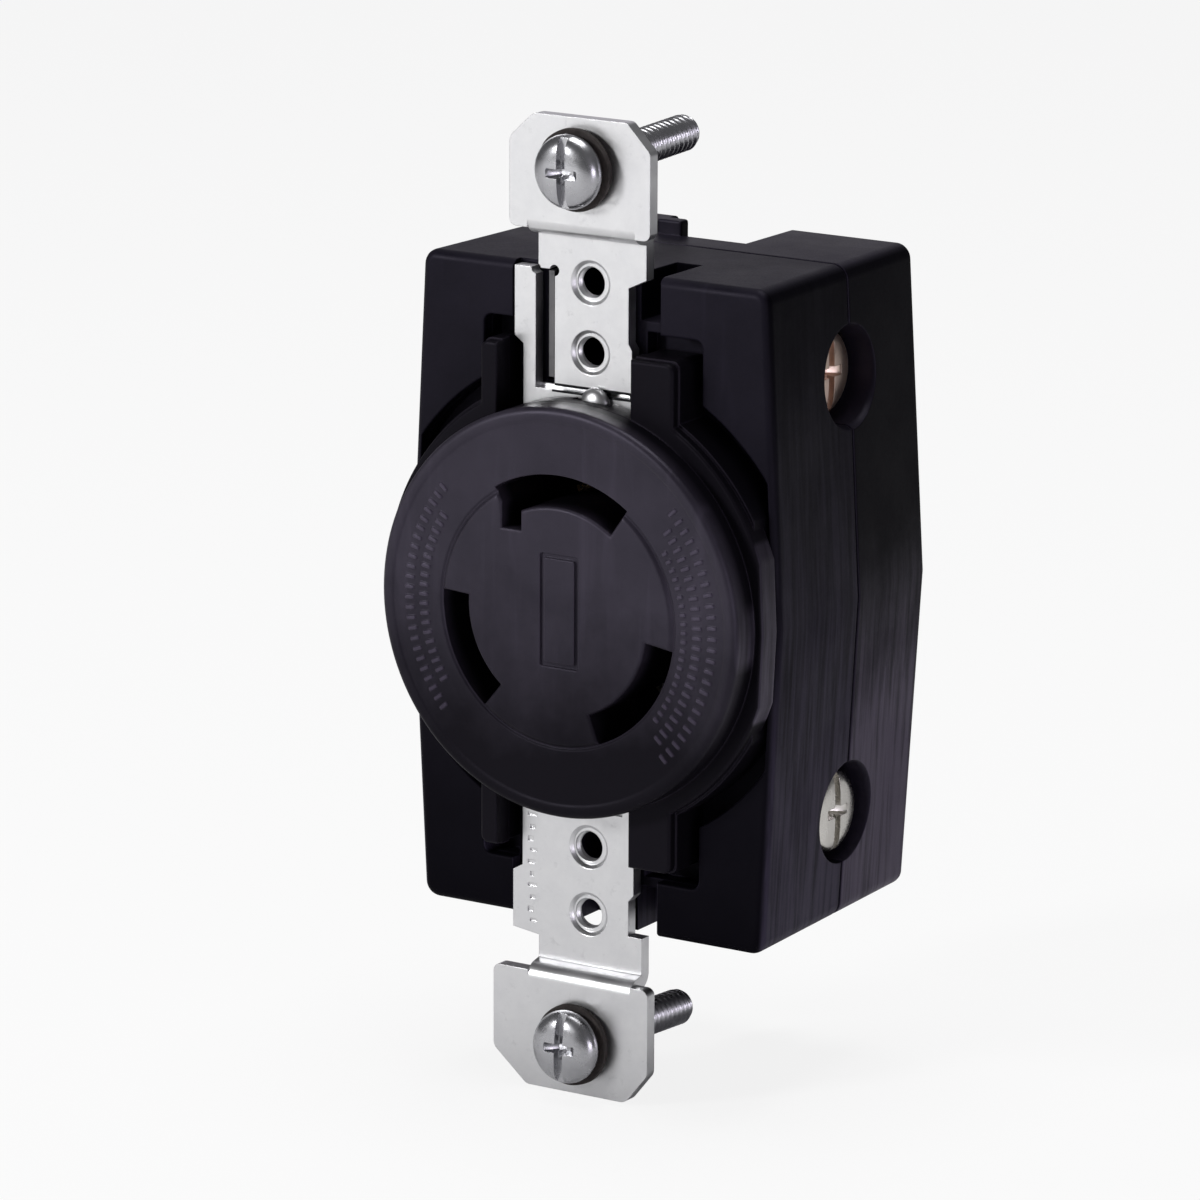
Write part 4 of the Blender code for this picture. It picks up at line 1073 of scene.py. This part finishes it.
for key in STATIONS:
    contact = (NICKEL, "nickel_plate") if key == "neutral" else (BRASS, "brass")
    ease(key + "_contact", *contact, width=0.10)
    ease(key + "_contact_spring", STEEL, "steel", width=0.08)
    ease(key + "_clamp_nut", STEEL, "steel", width=0.15)
# the bond clip wears the steel with painted shade
ease("ground_bond_clip", SHADED_STEEL, "steel", width=0.08)

# ------------------------------------------------------------------------------- stage
scene = bpy.context.scene
scene.view_settings.view_transform = 'Standard'


def build_world():
    """White to the camera, a faint cool fill to everything else."""
    world = bpy.data.worlds.new("studio")
    scene.world = world
    world.use_nodes = True
    nodes, link = world.node_tree.nodes, world.node_tree.links.new
    nodes.clear()
    output = nodes.new("ShaderNodeOutputWorld")
    path = nodes.new("ShaderNodeLightPath")
    blend = nodes.new("ShaderNodeMixShader")
    link(path.outputs["Is Camera Ray"], blend.inputs[0])
    for socket, colour, strength in ((1, (0.97, 0.97, 1.0, 1), 0.12),
                                     (2, (1.0, 1.0, 1.0, 1), 1.0)):
        background = nodes.new("ShaderNodeBackground")
        background.inputs["Color"].default_value = colour
        background.inputs["Strength"].default_value = strength
        link(background.outputs[0], blend.inputs[socket])
    link(blend.outputs[0], output.inputs[0])


def build_floor():
    """Pale floor just under the lower ear, mostly self-lit to the camera."""
    reach, z = 900, -47.6
    floor = make_object("floor", [(-reach, -reach, z), (reach, -reach, z), (reach, reach, z),
                                  (-reach, reach, z)], [(0, 1, 2, 3)])
    mat = bpy.data.materials.new("pale_floor")
    mat.use_nodes = True
    nodes, link = mat.node_tree.nodes, mat.node_tree.links.new
    bsdf = nodes["Principled BSDF"]
    bsdf.inputs["Base Color"].default_value = (0.93, 0.93, 0.93, 1)
    bsdf.inputs["Roughness"].default_value = 0.9
    bsdf.inputs["Specular IOR Level"].default_value = 0.1
    glow = nodes.new("ShaderNodeEmission")
    glow.inputs["Color"].default_value = (1, 1, 1, 1)
    glow.inputs["Strength"].default_value = 1.0
    blend = nodes.new("ShaderNodeMixShader")
    path = nodes.new("ShaderNodeLightPath")
    share = nodes.new("ShaderNodeMath")
    share.operation = 'MULTIPLY'
    share.inputs[1].default_value = 0.86                       # share of glow the camera sees
    link(path.outputs["Is Camera Ray"], share.inputs[0])
    link(share.outputs[0], blend.inputs[0])
    link(bsdf.outputs[0], blend.inputs[1])
    link(glow.outputs[0], blend.inputs[2])
    link(blend.outputs[0], nodes["Material Output"].inputs["Surface"])
    floor.data.materials.append(mat)


def area_light(name, at, to, size, power, colour=(1, 1, 1)):
    """Square light; places and size in metres, power in watts."""
    data = bpy.data.lights.new(name, 'AREA')
    data.energy = power
    data.color = colour
    data.size = size
    ob = bpy.data.objects.new(name, data)
    scene.collection.objects.link(ob)
    ob.location = at
    ob.rotation_euler = (Vector(to) - Vector(at)).to_track_quat('-Z', 'Y').to_euler()


def build_camera():
    """Long lens in front of the nose, to the right and above. Distances in metres."""
    yaw, elevation, roll = math.radians(32.473), math.radians(13.983), math.radians(0.191)
    target, distance = Vector((0, 0.00378, 0)), 0.645998
    outward = Vector((math.sin(yaw) * math.cos(elevation), -math.cos(yaw) * math.cos(elevation),
                      math.sin(elevation)))
    right = Vector((math.cos(yaw), math.sin(yaw), 0))
    up = outward.cross(right)
    data = bpy.data.cameras.new("camera")
    data.sensor_width = 36
    data.lens = 209.545
    data.shift_x = 0.0184333333
    data.shift_y = 0.00556666667
    data.clip_start = 0.01
    camera = bpy.data.objects.new("camera", data)
    scene.collection.objects.link(camera)
    turn = Matrix((right, up, outward)).transposed() @ Matrix.Rotation(roll, 3, 'Z')
    camera.matrix_world = Matrix.Translation(target + outward * distance) @ turn.to_4x4()
    scene.camera = camera


build_world()
build_floor()
area_light("key", at=(-0.42, -0.67, 0.28), to=(0, 0.01, 0), size=0.15, power=3.5)
area_light("right", at=(0.55, -0.25, -0.02), to=(0, 0.01, 0), size=0.25, power=0.9,
           colour=(0.93, 0.88, 1.0))
area_light("top", at=(0.0, 0.05, 0.70), to=(0, 0.0, 0), size=0.40, power=2.6)
area_light("back", at=(-0.60, 0.90, 0.30), to=(0, 0.02, 0), size=0.90, power=1.0,
           colour=(0.95, 0.90, 1.0))
build_camera()
